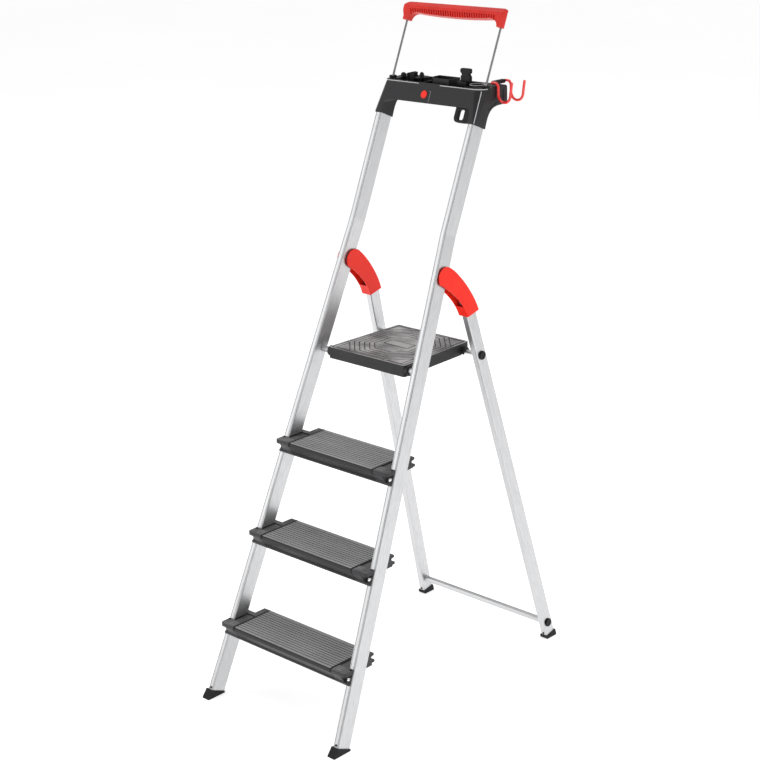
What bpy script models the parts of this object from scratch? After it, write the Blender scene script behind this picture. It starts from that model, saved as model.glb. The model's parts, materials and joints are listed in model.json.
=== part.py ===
"""Platform step ladder with a tool tray, a sliding hand rail and a folding rear frame.

Metres, +Z up, front of the ladder towards -Y. The origin is on the floor under the middle of the
ladder. Three frames carry the pieces: the front frame leans back, the rear frame leans forward and
turns about the hinge pins, and the platform turns about its front axle.
"""
import math

import bmesh
import bpy
from mathutils import Matrix, Vector

# ---------------------------------------------------------------- driving dimensions
GAP = 0.0003

FRONT_LEAN = math.radians(23.62)
REAR_LEAN = math.radians(14.15)

# front stiles, in the leaning frame: x across, d behind the front face, s along the stile
STILE_WIDTH = 0.0188
STILE_DEPTH = 0.0440
STILE_WALL = 0.0016
STILE_CORNER = 0.0030
STILE_LINE = 0.0050
STILE_LINE_WIDTH = 0.0014
STILE_LINE_DEPTH = 0.0009
STILE_HALF_SPREAD = 0.2338
STILE_TAPER = 0.0580
STILE_KINK = 1.3200
STILE_TOP = 1.6200
STILE_END_LIFT = 0.0045

FOOT_RIM = 0.0235
FOOT_WALL = 0.0028
FOOT_TOE = -0.0083
FOOT_HEEL = 0.0436
HEEL_CHAMFER = 0.0015
PLUG_RADIUS = 0.0032
PLUG_HEIGHT = 0.0290

# treads
TREAD_NAMES = ("lower", "middle", "upper")
TREAD_FIRST = 0.2020
TREAD_RISE = 0.2300
TREAD_NOSE = -0.0330
TREAD_TAIL = 0.0980
TREAD_DROP = 0.0370
TREAD_WALL = 0.0030
BRACKET_LENGTH = 0.0520
BRACKET_RADIUS = 0.0080
BRACKET_PLATE = 0.0027
FLANGE_THICK = 0.0105
EAR_TAIL = 0.0640
EAR_INSET = 0.0290
EAR_THICK = 0.0125
RECESS_DEPTH = 0.0022
RIB_COUNT = 12
RIB_GROOVE = 0.0022
RIB_DEPTH = 0.0012

# platform
PLATFORM_TOP = 0.8915
PLATFORM_THICK = 0.0300
PLATFORM_FRONT = 0.4004
PLATFORM_REAR = 0.6589
PLATFORM_HALF_FRONT = 0.1337
PLATFORM_HALF_REAR = 0.1244
AXLE_Y = 0.4154
AXLE_Z = 0.8766
AXLE_RADIUS = 0.0080
AXLE_JAW = 0.0140
REST_JAW = 0.0115
JAW_REACH = 0.0060

# hinge and rear legs, in the rear frame: x across, d behind the pin, t along the leg from the pin
HINGE_Y = 0.5174
HINGE_Z = 1.1010
PIN_RADIUS = 0.0040
LEG_WIDTH = 0.0187
LEG_DEPTH = 0.0348
LEG_WALL = 0.0014
LEG_CORNER = 0.0030
LEG_FRONT = 0.0439
LEG_HALF_SPREAD = 0.1618
LEG_TAPER = 0.0593
LEG_TOP_FRONT = -0.0900
LEG_TOP_REAR = -0.1200
LEG_END_LIFT = 0.0040
REST_ROD_T = -0.2532
REST_ROD_D = 0.0610
REST_ROD_RADIUS = 0.0060
STRUT_T = -1.1012
STRUT_RADIUS = 0.0085
CAP_RADIUS = 0.0118

COVER_HEAD_RADIUS = 0.0280
COVER_OUTSIDE = 0.0172
COVER_INSIDE = -0.0138
COVER_SEAM = 0.0017
COVER_WALL = 0.0022
COVER_END = -0.1305
STILE_SWEEP = 0.0130
HEAD_TRIM_RADIUS = 0.0255
HEAD_TRIM_BACK = 0.0050
ARM_THICK = 0.0016
ARM_HEAD_RADIUS = 0.0170
ARM_END = -0.1280

# tray
TRAY_HALF = 0.1697
TRAY_FRONT = -0.0025
TRAY_TOP = 1.5460
TRAY_REAR = 0.7700
TRAY_UNDER = 1.5010
TRAY_FLOOR = TRAY_UNDER + 0.0100
SOCKET_END = 1.6000
SOCKET_INNER = 0.1460
WALL_END = 1.6380
LIP_TOP = 1.6895
UNDER_RADIUS = 0.0120
CORNER_LOW = 0.0040
CORNER_HIGH = 0.0327
CORNER_TOP = 1.7000
RING_X = 0.1180
RING_Y = 0.7160
CLAMP_X = 0.0790
KNOB_X = 0.0850
CLAMP_Y = 0.7120
CLAMP_BASE_TOP = TRAY_TOP + 0.0105
BIT_BOX_LEFT = -0.0260
BIT_BOX_RIGHT = 0.0450

# hand rail
ROD_X = 0.1580
ROD_D = 0.0210
ROD_RADIUS = 0.0028
ROD_LOWER_END = 1.5600
ROD_UPPER_END = 1.8850
GRIP_TOP = 1.9020
GRIP_HALF = 0.1675
GRIP_FRONT = 0.0010
GRIP_REAR = 0.0300
POST_END = 1.8520
SLOT_COUNT = 36
SLOT_PITCH = 0.0080
SLOT_WIDTH = 0.0036

SIDES = (("left", -1), ("right", 1))

def floor_s(depth, height):
    """Distance along the leaning stile at which a point at this depth is at this height."""
    return (height + depth * math.sin(FRONT_LEAN)) / math.cos(FRONT_LEAN)


def floor_t(depth, height):
    """Distance along the rear leg, from the pin, at which a point at this depth is at this height."""
    return (height - HINGE_Z - depth * math.sin(REAR_LEAN)) / math.cos(REAR_LEAN)


def stile_x(s):
    """Centre line of the right stile."""
    return STILE_HALF_SPREAD - STILE_TAPER * min(s, STILE_KINK)


def leg_x(t):
    """Centre line of the right rear leg."""
    return LEG_HALF_SPREAD - LEG_TAPER * t


FOOT_FRONT_Y = FOOT_TOE * math.cos(FRONT_LEAN) + floor_s(FOOT_TOE, 0.0) * math.sin(FRONT_LEAN)
LEG_BACK = LEG_FRONT + LEG_DEPTH + FOOT_WALL
HEEL_T = floor_t(LEG_BACK, HEEL_CHAMFER)
FOOT_REAR_Y = HINGE_Y + LEG_BACK * math.cos(REAR_LEAN) - HEEL_T * math.sin(REAR_LEAN)
MIDDLE_Y = (FOOT_FRONT_Y + FOOT_REAR_Y) / 2.0


# ---------------------------------------------------------------- scene helpers
def clear_scene():
    for obj in list(bpy.data.objects):
        bpy.data.objects.remove(obj, do_unlink=True)


def new_collection(name):
    collection = bpy.data.collections.new(name)
    bpy.context.scene.collection.children.link(collection)
    return collection


def new_material(name, colour, roughness, metallic):
    material = bpy.data.materials.new(name)
    material.use_nodes = True
    shader = material.node_tree.nodes["Principled BSDF"]
    shader.inputs["Base Color"].default_value = (*colour, 1.0)
    shader.inputs["Roughness"].default_value = roughness
    shader.inputs["Metallic"].default_value = metallic
    material.diffuse_color = (*colour, 1.0)
    return material


def new_frame(name, parent, location, rotation):
    frame = bpy.data.objects.new(name, None)
    frame.empty_display_size = 0.05
    frame.parent = parent
    frame.location = location
    frame.rotation_euler = rotation
    PARTS.objects.link(frame)
    return frame


def place(name, mesh, material, parent, smooth=False):
    """Link a mesh as a part."""
    obj = bpy.data.objects.new(name, mesh)
    mesh.name = name
    mesh.materials.clear()
    mesh.materials.append(material)
    if smooth:
        mesh.shade_smooth()
        mesh.set_sharp_from_angle(angle=math.radians(35.0))
    else:
        mesh.shade_flat()
    obj.parent = parent
    PARTS.objects.link(obj)
    return obj


def combine(obj, mesh, parent, label, operation):
    """Boolean of a part with a closed mesh, which stays in the cutters' collection."""
    cutter = bpy.data.objects.new(f"{operation.lower()}_{obj.name}_{label}", mesh)
    cutter.parent = parent
    cutter.display_type = "WIRE"
    cutter.hide_render = True
    CUTTERS.objects.link(cutter)
    boolean = obj.modifiers.new(label, "BOOLEAN")
    boolean.operation = operation
    boolean.object = cutter


def cut(obj, mesh, parent, label):
    combine(obj, mesh, parent, label, "DIFFERENCE")


def join(obj, mesh, parent, label):
    combine(obj, mesh, parent, label, "UNION")


# ---------------------------------------------------------------- shape helpers
def mesh_of(bm):
    bmesh.ops.recalc_face_normals(bm, faces=bm.faces)
    mesh = bpy.data.meshes.new("shape")
    bm.to_mesh(mesh)
    bm.free()
    return mesh


def moved(mesh, x=0.0, y=0.0, z=0.0):
    mesh.transform(Matrix.Translation((x, y, z)))
    return mesh


def box(low, high, bevel=0.0):
    bm = bmesh.new()
    bmesh.ops.create_cube(bm, size=1.0)
    size = Vector(high) - Vector(low)
    middle = (Vector(high) + Vector(low)) / 2.0
    bmesh.ops.scale(bm, vec=size, verts=bm.verts)
    bmesh.ops.translate(bm, vec=middle, verts=bm.verts)
    if bevel:
        bmesh.ops.bevel(bm, geom=bm.edges[:], offset=bevel, segments=2, profile=0.5, affect="EDGES")
    return mesh_of(bm)


def rod(radius, start, end, segments=20, tip=None):
    """Closed cylinder, or a cone when tip gives the end radius, between two points."""
    axis = Vector(end) - Vector(start)
    turn = axis.to_track_quat("Z", "Y").to_matrix().to_4x4()
    bm = bmesh.new()
    bmesh.ops.create_cone(
        bm, cap_ends=True, segments=segments, radius1=radius,
        radius2=radius if tip is None else tip, depth=axis.length,
        matrix=Matrix.Translation((Vector(start) + Vector(end)) / 2.0) @ turn)
    return mesh_of(bm)


def turned(profile, start, axis, steps=24):
    """Closed turned solid. The profile lists (radius, height) from the base to the top, on the axis
    at both ends, and stands on start along axis."""
    bm = bmesh.new()
    verts = [bm.verts.new((radius, 0.0, height)) for radius, height in profile]
    edges = [bm.edges.new(pair) for pair in zip(verts, verts[1:])]
    bmesh.ops.spin(
        bm, geom=verts + edges, cent=(0.0, 0.0, 0.0), axis=(0.0, 0.0, 1.0),
        angle=math.tau, steps=steps, use_merge=True, use_duplicate=False)
    bmesh.ops.remove_doubles(bm, verts=bm.verts, dist=0.00002)
    turn = Vector(axis).to_track_quat("Z", "Y").to_matrix().to_4x4()
    bmesh.ops.transform(bm, matrix=Matrix.Translation(start) @ turn, verts=bm.verts)
    return mesh_of(bm)


def arc(cx, cy, radius, start, end, count):
    """Points on a circle from one angle to another, in degrees."""
    points = []
    for i in range(count + 1):
        angle = math.radians(start + (end - start) * i / count)
        points.append((cx + radius * math.cos(angle), cy + radius * math.sin(angle)))
    return points


def bezier(a, b, c, d, count):
    """Points on a cubic curve, without its first point."""
    points = []
    for i in range(1, count + 1):
        u = i / count
        v = 1.0 - u
        points.append(tuple(
            v * v * v * p + 3 * v * v * u * q + 3 * v * u * u * r + u * u * u * w
            for p, q, r, w in zip(a, b, c, d)))
    return points


def slab(outlines, low, high, plane):
    """Flat outlines, extruded between two heights of the plane's normal.

    The plane is XY (normal Z), YZ (normal X) or XZ (normal Y). Nested outlines make holes.
    """
    curve = bpy.data.curves.new("outline", "CURVE")
    curve.dimensions = "2D"
    curve.fill_mode = "BOTH"
    curve.extrude = (high - low) / 2.0
    for outline in outlines:
        spline = curve.splines.new("POLY")
        spline.points.add(len(outline) - 1)
        for point, (u, v) in zip(spline.points, outline):
            point.co = (u, v, 0.0, 1.0)
        spline.use_cyclic_u = True
    mesh = mesh_from_curve(curve)
    middle = (high + low) / 2.0
    bases = {
        "XY": Matrix(((1, 0, 0, 0), (0, 1, 0, 0), (0, 0, 1, middle), (0, 0, 0, 1))),
        "YZ": Matrix(((0, 0, 1, middle), (1, 0, 0, 0), (0, 1, 0, 0), (0, 0, 0, 1))),
        "XZ": Matrix(((1, 0, 0, 0), (0, 0, -1, middle), (0, 1, 0, 0), (0, 0, 0, 1))),
    }
    mesh.transform(bases[plane])
    return outward(mesh)


def mesh_from_curve(curve):
    """Evaluate a curve as a closed mesh with its caps welded on."""
    holder = bpy.data.objects.new("holder", curve)
    bpy.context.scene.collection.objects.link(holder)
    depsgraph = bpy.context.evaluated_depsgraph_get()
    mesh = bpy.data.meshes.new_from_object(holder.evaluated_get(depsgraph))
    bpy.data.objects.remove(holder, do_unlink=True)
    bm = bmesh.new()
    bm.from_mesh(mesh)
    bmesh.ops.remove_doubles(bm, verts=bm.verts, dist=0.00001)
    bm.to_mesh(mesh)
    bm.free()
    return mesh


def outward(mesh):
    bm = bmesh.new()
    bm.from_mesh(mesh)
    bmesh.ops.recalc_face_normals(bm, faces=bm.faces)
    bm.to_mesh(mesh)
    bm.free()
    return mesh


def wire(points, radius, resolution=2):
    """Round wire along a polyline, with flat ends."""
    curve = bpy.data.curves.new("wire", "CURVE")
    curve.dimensions = "3D"
    curve.bevel_depth = radius
    curve.bevel_resolution = resolution
    curve.use_fill_caps = True
    spline = curve.splines.new("POLY")
    spline.points.add(len(points) - 1)
    for point, co in zip(spline.points, points):
        point.co = (*co, 1.0)
    return outward(mesh_from_curve(curve))


def rounded_rectangle(x0, x1, y0, y1, radius, count=3):
    outline = []
    corners = ((x1, y0, -90, -1, 1), (x1, y1, 0, -1, -1), (x0, y1, 90, 1, -1), (x0, y0, 180, 1, 1))
    for x, y, start, step_x, step_y in corners:
        outline += arc(x + step_x * radius, y + step_y * radius, radius, start, start + 90, count)
    return outline


def swept(outline, heights, shift):
    """Closed prism along a bent centre line.

    Each entry of heights gives a ring's height at each depth, so an end can be cut at a slant, and
    shift gives the centre line's place across at each height.
    """
    bm = bmesh.new()
    rings = []
    for height in heights:
        rings.append([bm.verts.new((u + shift(height(v)), v, height(v))) for u, v in outline])
    for lower, upper in zip(rings, rings[1:]):
        for i in range(len(outline)):
            j = (i + 1) % len(outline)
            bm.faces.new((lower[i], lower[j], upper[j], upper[i]))
    bm.faces.new(rings[0])
    bm.faces.new(rings[-1])
    return mesh_of(bm)


def loft(lower, upper, low, high):
    """Closed solid between two outlines with as many points, at two heights."""
    bm = bmesh.new()
    rings = []
    for outline, height in ((lower, low), (upper, high)):
        rings.append([bm.verts.new((u, v, height)) for u, v in outline])
    for i in range(len(lower)):
        j = (i + 1) % len(lower)
        bm.faces.new((rings[0][i], rings[0][j], rings[1][j], rings[1][i]))
    bm.faces.new(rings[0])
    bm.faces.new(rings[1])
    return mesh_of(bm)


def level(height):
    """A ring square to the sweep, at one height."""
    return lambda v: height


# ---------------------------------------------------------------- front frame
def make_stile(name, side):
    """Hollow extrusion with two fine lines along its front face, bent at the kink."""
    half = STILE_WIDTH / 2.0
    outside = rounded_rectangle(-half, half, 0.0, STILE_DEPTH, STILE_CORNER)
    for x in (-STILE_LINE, STILE_LINE):
        edge = STILE_LINE_WIDTH / 2.0
        outside += [(x - edge, 0.0), (x - edge * 0.6, STILE_LINE_DEPTH)]
        outside += [(x + edge * 0.6, STILE_LINE_DEPTH), (x + edge, 0.0)]
    inside = rounded_rectangle(
        -half + STILE_WALL, half - STILE_WALL, STILE_WALL, STILE_DEPTH - STILE_WALL,
        STILE_CORNER - STILE_WALL, 2)

    def across(s):
        return side * stile_x(s)

    body = (lambda v: floor_s(v, STILE_END_LIFT), level(STILE_KINK), level(STILE_TOP))
    through = (level(-0.02), level(STILE_KINK), level(STILE_TOP + 0.01))
    stile = place(f"stile_{name}", swept(outside, body, across), ALUMINIUM, FRONT)
    cut(stile, swept(inside, through, across), FRONT, "hollow")
    reach = side * (stile_x(STILE_KINK) - 0.05), side * (stile_x(0.0) + 0.05)
    pin = rod(PIN_RADIUS + GAP, (reach[0], 0.0, 0.0), (reach[1], 0.0, 0.0), 16)
    cut(stile, pin, REAR, "pin")


def make_front_foot(name, side):
    """Wedge-shaped shoe under the leaning stile: flat sole, flared toe, rim square to the stile."""
    half = STILE_WIDTH / 2.0 + FOOT_WALL
    lip = FOOT_TOE - 0.0007
    outline = [
        (-FOOT_WALL, FOOT_RIM), (lip, floor_s(lip, 0.0030)), (FOOT_TOE, floor_s(FOOT_TOE, 0.0)),
        (FOOT_HEEL, floor_s(FOOT_HEEL, 0.0)), (FOOT_HEEL, FOOT_RIM)]
    mesh = slab([outline], -half, half, "YZ")
    foot = place(f"front_foot_{name}", moved(mesh, x=side * stile_x(0.01)), BLACK_RUBBER, FRONT)
    pocket = rounded_rectangle(
        -STILE_WIDTH / 2 - GAP, STILE_WIDTH / 2 + GAP, -GAP, STILE_DEPTH + GAP, STILE_CORNER)
    rings = (lambda v: floor_s(v, STILE_END_LIFT - GAP), level(0.06))
    cut(foot, swept(pocket, rings, lambda s: side * stile_x(s)), FRONT, "stile")


def make_plug(name, x, depth, height, frame):
    """Small domed plug on the front face of a stile or leg."""
    rim = PLUG_RADIUS
    profile = [(0.0, 0.0), (rim, 0.0), (rim, 0.0005), (rim * 0.6, 0.0012), (0.0, 0.0014)]
    mesh = turned(profile, (x, depth - GAP, height), (0.0, -1.0, 0.0), 12)
    place(name, mesh, BLACK_PLASTIC, frame, smooth=True)


def tread_outline(solid):
    """Side view of a tread: ribbed top, round nose, sloping skirt and a lipped tail.

    solid gives the filled section of an end bracket, without ribs.
    """
    nose, tail, drop = TREAD_NOSE, TREAD_TAIL, TREAD_DROP
    outline = arc(nose + 0.004, -0.004, 0.004, 180, 90, 4)
    if not solid:
        pitch = (tail - nose - 0.016) / RIB_COUNT
        for i in range(RIB_COUNT):
            y = nose + 0.011 + pitch * i
            outline += [(y, 0.0), (y + 0.0003, -RIB_DEPTH)]
            outline += [(y + RIB_GROOVE - 0.0003, -RIB_DEPTH), (y + RIB_GROOVE, 0.0)]
    outline += [
        (tail, 0.0), (tail + 0.003, -0.002), (tail + 0.003, -0.008), (tail - 0.007, -0.010),
        (tail - 0.007, -0.019), (tail + 0.005, -0.021), (tail + 0.005, -0.027)]
    if solid:
        outline += [(tail - 0.012, -0.0280), (nose + 0.045, -drop)]
    else:
        outline += [
            (tail - 0.010, -0.0280), (tail - 0.010, -TREAD_WALL - 0.001),
            (nose + 0.008, -TREAD_WALL - 0.001), (nose + TREAD_WALL, -0.010),
            (nose + 0.0165, -drop + TREAD_WALL), (nose + 0.026, -drop + TREAD_WALL), (nose + 0.026, -drop)]
    outline += [(nose + 0.0125, -drop), (nose + 0.0120, -drop + 0.004)]
    outline += [(nose + 0.0135, -drop + 0.006), (nose, -0.010)]
    return outline


def make_tread(number, name):
    top = TREAD_FIRST + TREAD_RISE * number
    start = top * math.tan(FRONT_LEAN)
    outer = stile_x(top / math.cos(FRONT_LEAN)) + STILE_WIDTH / 2.0
    seam = outer - BRACKET_LENGTH
    mesh = moved(slab([tread_outline(False)], -seam + 0.0010, seam - 0.0010, "YZ"), y=start, z=top)
    place(f"tread_{name}", mesh, TREAD_GREY, BASE)
    for side_name, side in SIDES:
        make_bracket(f"{name}_{side_name}", side, top, start, seam, outer - 0.0020)


def make_bracket(name, side, top, start, seam, end):
    """End cap of a tread: a flange and a lip with a gap between them in front of the stile, a plate on
    the stile's front face, a notch round the stile and an ear behind it."""
    low, high = sorted((side * seam, side * end))
    mesh = moved(slab([tread_outline(True)], low, high, "YZ"), y=start, z=top)
    bracket = place(f"tread_bracket_{name}", mesh, TREAD_GREY, BASE)
    cut(bracket, stile_clearance(side), FRONT, "stile")
    past = end + 0.02
    gap = []
    for drop in (FLANGE_THICK, TREAD_DROP - 0.0065):
        plate = start - drop * math.tan(FRONT_LEAN) - (BRACKET_PLATE + GAP) / math.cos(FRONT_LEAN)
        gap.append((plate, top - drop))
    gap += [(start - 0.050, top - TREAD_DROP + 0.0065), (start - 0.050, top - FLANGE_THICK)]
    low, high = sorted((side * (end - 0.0165), side * past))
    cut(bracket, slab([gap], low, high, "YZ"), BASE, "gap")
    ear = side * (end - EAR_INSET)
    below = side_box(ear, side * past, start + 0.0200, start + 0.1500, top - 0.0600, top - EAR_THICK)
    cut(bracket, below, BASE, "ear_under")
    behind = side_box(ear, side * past, start + EAR_TAIL, start + 0.1500, top - 0.0600, top + 0.0100)
    cut(bracket, behind, BASE, "ear_tail")
    notch = end + 0.0020 - STILE_WIDTH - GAP
    recess = side_box(
        side * (seam + 0.0030), side * (notch - 0.0020), start - 0.0040, start + 0.0480,
        top - RECESS_DEPTH, top + 0.0100)
    cut(bracket, recess, BASE, "recess")
    nose = start + TREAD_NOSE
    corner = arc(end - BRACKET_RADIUS, nose + BRACKET_RADIUS, BRACKET_RADIUS, -90, 0, 4)
    corner += [(past, nose + BRACKET_RADIUS), (past, nose - 0.010), (end - BRACKET_RADIUS, nose - 0.010)]
    corner = [(side * x, y) for x, y in corner]
    cut(bracket, slab([corner], top - 0.0600, top + 0.0100, "XY"), BASE, "corner")


def side_box(x0, x1, y0, y1, z0, z1):
    return box((min(x0, x1), y0, z0), (max(x0, x1), y1, z1))


def stile_clearance(side):
    """The room a stile takes, open to the outside, through the treads' height."""
    inner = -STILE_WIDTH / 2.0 - GAP
    outline = [(side * inner, -GAP), (side * 0.03, -GAP), (side * 0.03, STILE_DEPTH + GAP)]
    outline.append((side * inner, STILE_DEPTH + GAP))
    return swept(outline, (level(0.10), level(0.90)), lambda s: side * stile_x(s))


def make_axle():
    s = AXLE_Y * math.sin(FRONT_LEAN) + AXLE_Z * math.cos(FRONT_LEAN)
    half = stile_x(s) - STILE_WIDTH / 2.0 - GAP - STILE_TAPER * AXLE_RADIUS - 0.0002
    axle = place(
        "platform_axle", rod(AXLE_RADIUS, (-half, AXLE_Y, AXLE_Z), (half, AXLE_Y, AXLE_Z), 24),
        ALUMINIUM, BASE, smooth=True)
    past = half + 0.01
    bore = rod(AXLE_RADIUS - 0.0015, (-past, AXLE_Y, AXLE_Z), (past, AXLE_Y, AXLE_Z), 16)
    cut(axle, bore, BASE, "bore")


# ---------------------------------------------------------------- platform
def tapered_outline(inset, front, rear, radius):
    """Plan of the platform, or of an inset of it, with round corners."""
    slope = (PLATFORM_HALF_REAR - PLATFORM_HALF_FRONT) / (PLATFORM_REAR - PLATFORM_FRONT)

    def half(y):
        return PLATFORM_HALF_FRONT + slope * (y + AXLE_Y - PLATFORM_FRONT) - inset

    if radius == 0.0:
        return [(-half(front), front), (half(front), front), (half(rear), rear), (-half(rear), rear)]
    outline = arc(half(front) - radius, front + radius, radius, -90, 0, 3)
    outline += arc(half(rear) - radius, rear - radius, radius, 0, 90, 3)
    outline += arc(-half(rear) + radius, rear - radius, radius, 90, 180, 3)
    outline += arc(-half(front) + radius, front + radius, radius, 180, 270, 3)
    return outline


def octagon(half_x, half_y, corner):
    """Rectangle with cut corners about the middle of the platform."""
    middle = (PLATFORM_FRONT + PLATFORM_REAR) / 2.0 - AXLE_Y
    x, y = half_x, half_y
    points = [
        (x - corner, -y), (x, -y + corner), (x, y - corner), (x - corner, y),
        (-x + corner, y), (-x, y - corner), (-x, -y + corner), (-x + corner, -y)]
    return [(u, v + middle) for u, v in points]


def groove_outlines():
    """A border, nested octagons, a middle rectangle and four corner triangles. Pairs enclose a groove."""
    groove, pitch = 0.0024, 0.0130
    outlines = []
    for inset in (0.0060, 0.0060 + groove):
        front, rear = PLATFORM_FRONT - AXLE_Y + inset, PLATFORM_REAR - AXLE_Y - inset
        outlines.append(tapered_outline(inset, front, rear, 0.0040))
    for i in range(5):
        half_x, half_y, corner = 0.1130 - pitch * i, 0.1170 - pitch * i, 0.0620 - 0.0075 * i
        outlines.append(octagon(half_x, half_y, corner))
        outlines.append(octagon(half_x - groove, half_y - groove, corner - 0.6 * groove))
    outlines.append(octagon(0.0420, 0.0180, 0.0040))
    outlines.append(octagon(0.0420 - groove, 0.0180 - groove, 0.0030))
    middle = (PLATFORM_FRONT + PLATFORM_REAR) / 2.0 - AXLE_Y
    for sx in (-1, 1):
        for sy in (-1, 1):
            for inset in (0.0, groove):
                x, y, leg = 0.1150 - inset, 0.1190 - inset, 0.0520 - 3.4 * inset
                triangle = [(sx * x, sy * y), (sx * (x - leg), sy * y), (sx * x, sy * (y - leg))]
                outlines.append([(u, v + middle) for u, v in triangle])
    return outlines


def make_platform():
    """Deck with a grooved top, skirts, an open underside and two inner ribs that hold the axle."""
    top = PLATFORM_TOP - AXLE_Z
    bottom = top - PLATFORM_THICK
    front = PLATFORM_FRONT - AXLE_Y
    rear = PLATFORM_REAR - AXLE_Y
    deck = place(
        "platform_deck", slab([tapered_outline(0.0, front, rear, 0.006)], bottom, top, "XY"),
        DECK_GREY, PLATFORM)
    rod_y, rod_z = rest_rod_place()
    rod_y, rod_z = rod_y - AXLE_Y, rod_z - AXLE_Z
    for name, side in SIDES:
        inner, outer = side * (PLATFORM_HALF_FRONT - JAW_REACH), side * (PLATFORM_HALF_FRONT + JAW_REACH)
        join(deck, rod(AXLE_JAW, (inner, 0.0, 0.0), (outer, 0.0, 0.0), 24), PLATFORM, f"axle_jaw_{name}")
        inner, outer = side * (PLATFORM_HALF_REAR - JAW_REACH), side * (PLATFORM_HALF_REAR + 0.0100)
        jaw = rod(REST_JAW, (inner, rod_y, rod_z), (outer, rod_y, rod_z), 24)
        join(deck, jaw, PLATFORM, f"rest_jaw_{name}")
    ceiling = top - 0.0048
    rib = 0.0980
    middle_room = box((-rib, front + 0.004, bottom - 0.01), (rib, rear - 0.004, ceiling))
    cut(deck, middle_room, PLATFORM, "middle_room")
    for name, side in SIDES:
        outline = [(side * (rib + 0.004), front + 0.004)]
        outline += [(side * (PLATFORM_HALF_FRONT - 0.0045), front + 0.004)]
        outline += [(side * (PLATFORM_HALF_REAR - 0.0045), rear - 0.004)]
        outline += [(side * (rib + 0.004), rear - 0.004)]
        cut(deck, slab([outline], bottom - 0.01, ceiling, "XY"), PLATFORM, f"room_{name}")
    cut(deck, rod(AXLE_RADIUS + GAP, (-0.15, 0.0, 0.0), (0.15, 0.0, 0.0), 24), PLATFORM, "axle")
    reach = REST_ROD_RADIUS + 0.0010
    outline = arc(rod_y, rod_z, reach, 0, 90, 4) + [(rod_y - 0.0045, rod_z + reach)]
    outline += [(rod_y - 0.0130, bottom - 0.01), (rod_y + reach, bottom - 0.01)]
    cut(deck, slab([outline], -0.15, 0.15, "YZ"), PLATFORM, "rest")
    grooves = slab(groove_outlines(), top - 0.0014, top + 0.0010, "XY")
    cut(deck, grooves, PLATFORM, "grooves")


def rest_rod_place():
    """World y and z of the rod that the platform's rear edge rests on."""
    y = HINGE_Y + REST_ROD_D * math.cos(REAR_LEAN) - REST_ROD_T * math.sin(REAR_LEAN)
    z = HINGE_Z + REST_ROD_D * math.sin(REAR_LEAN) + REST_ROD_T * math.cos(REAR_LEAN)
    return y, z


# ---------------------------------------------------------------- rear frame
def make_leg(name, side):
    half = LEG_WIDTH / 2.0
    back = LEG_FRONT + LEG_DEPTH
    outside = rounded_rectangle(-half, half, LEG_FRONT, back, LEG_CORNER)
    inside = rounded_rectangle(
        -half + LEG_WALL, half - LEG_WALL, LEG_FRONT + LEG_WALL, back - LEG_WALL,
        LEG_CORNER - LEG_WALL, 2)

    def bottom(v):
        return floor_t(v, LEG_END_LIFT)

    def top(v):
        return LEG_TOP_FRONT + (LEG_TOP_REAR - LEG_TOP_FRONT) * (v - LEG_FRONT) / LEG_DEPTH

    def across(t):
        return side * leg_x(t)

    leg = place(f"rear_leg_{name}", swept(outside, (bottom, top), across), ALUMINIUM, REAR)
    through = (level(bottom(LEG_FRONT) - 0.05), level(0.0))
    cut(leg, swept(inside, through, across), REAR, "hollow")
    for label, radius, t in (("rest_rod", REST_ROD_RADIUS, REST_ROD_T), ("strut", 0.0050, STRUT_T)):
        start, end = side * (leg_x(t) - 0.03), side * (leg_x(t) + 0.03)
        hole = rod(radius + GAP, (start, REST_ROD_D, t), (end, REST_ROD_D, t), 20)
        cut(leg, hole, REAR, label)


def make_rear_foot(name, side):
    half = LEG_WIDTH / 2.0 + FOOT_WALL
    front, back = LEG_FRONT - FOOT_WALL, LEG_BACK
    rim = floor_t(front, 0.0085)
    outline = [
        (front, rim), (front, floor_t(front, 0.002)), (front + 0.002, floor_t(front + 0.002, 0.0)),
        (back - HEEL_CHAMFER, floor_t(back - HEEL_CHAMFER, 0.0)), (back, HEEL_T), (back, rim)]
    mesh = slab([outline], -half, half, "YZ")
    foot = place(f"rear_foot_{name}", moved(mesh, x=side * leg_x(rim)), BLACK_RUBBER, REAR)
    pocket = rounded_rectangle(
        -LEG_WIDTH / 2 - GAP, LEG_WIDTH / 2 + GAP, LEG_FRONT - GAP, LEG_FRONT + LEG_DEPTH + GAP, LEG_CORNER)
    rings = (lambda v: floor_t(v, LEG_END_LIFT - GAP), level(rim + 0.05))
    cut(foot, swept(pocket, rings, lambda t: side * leg_x(t)), REAR, "leg")


def make_cap(name, side, t):
    """Round black cap on the outer face of a leg."""
    face = leg_x(t) + LEG_WIDTH / 2.0 + GAP + LEG_TAPER * CAP_RADIUS
    profile = [
        (0.0, 0.0), (CAP_RADIUS, 0.0), (CAP_RADIUS, 0.0022), (CAP_RADIUS - 0.0014, 0.0036),
        (CAP_RADIUS - 0.0036, 0.0036), (CAP_RADIUS - 0.0044, 0.0028), (0.0, 0.0028)]
    mesh = turned(profile, (side * face, REST_ROD_D, t), (side, 0.0, 0.0), 20)
    place(name, mesh, BLACK_PLASTIC, REAR, smooth=True)


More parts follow.
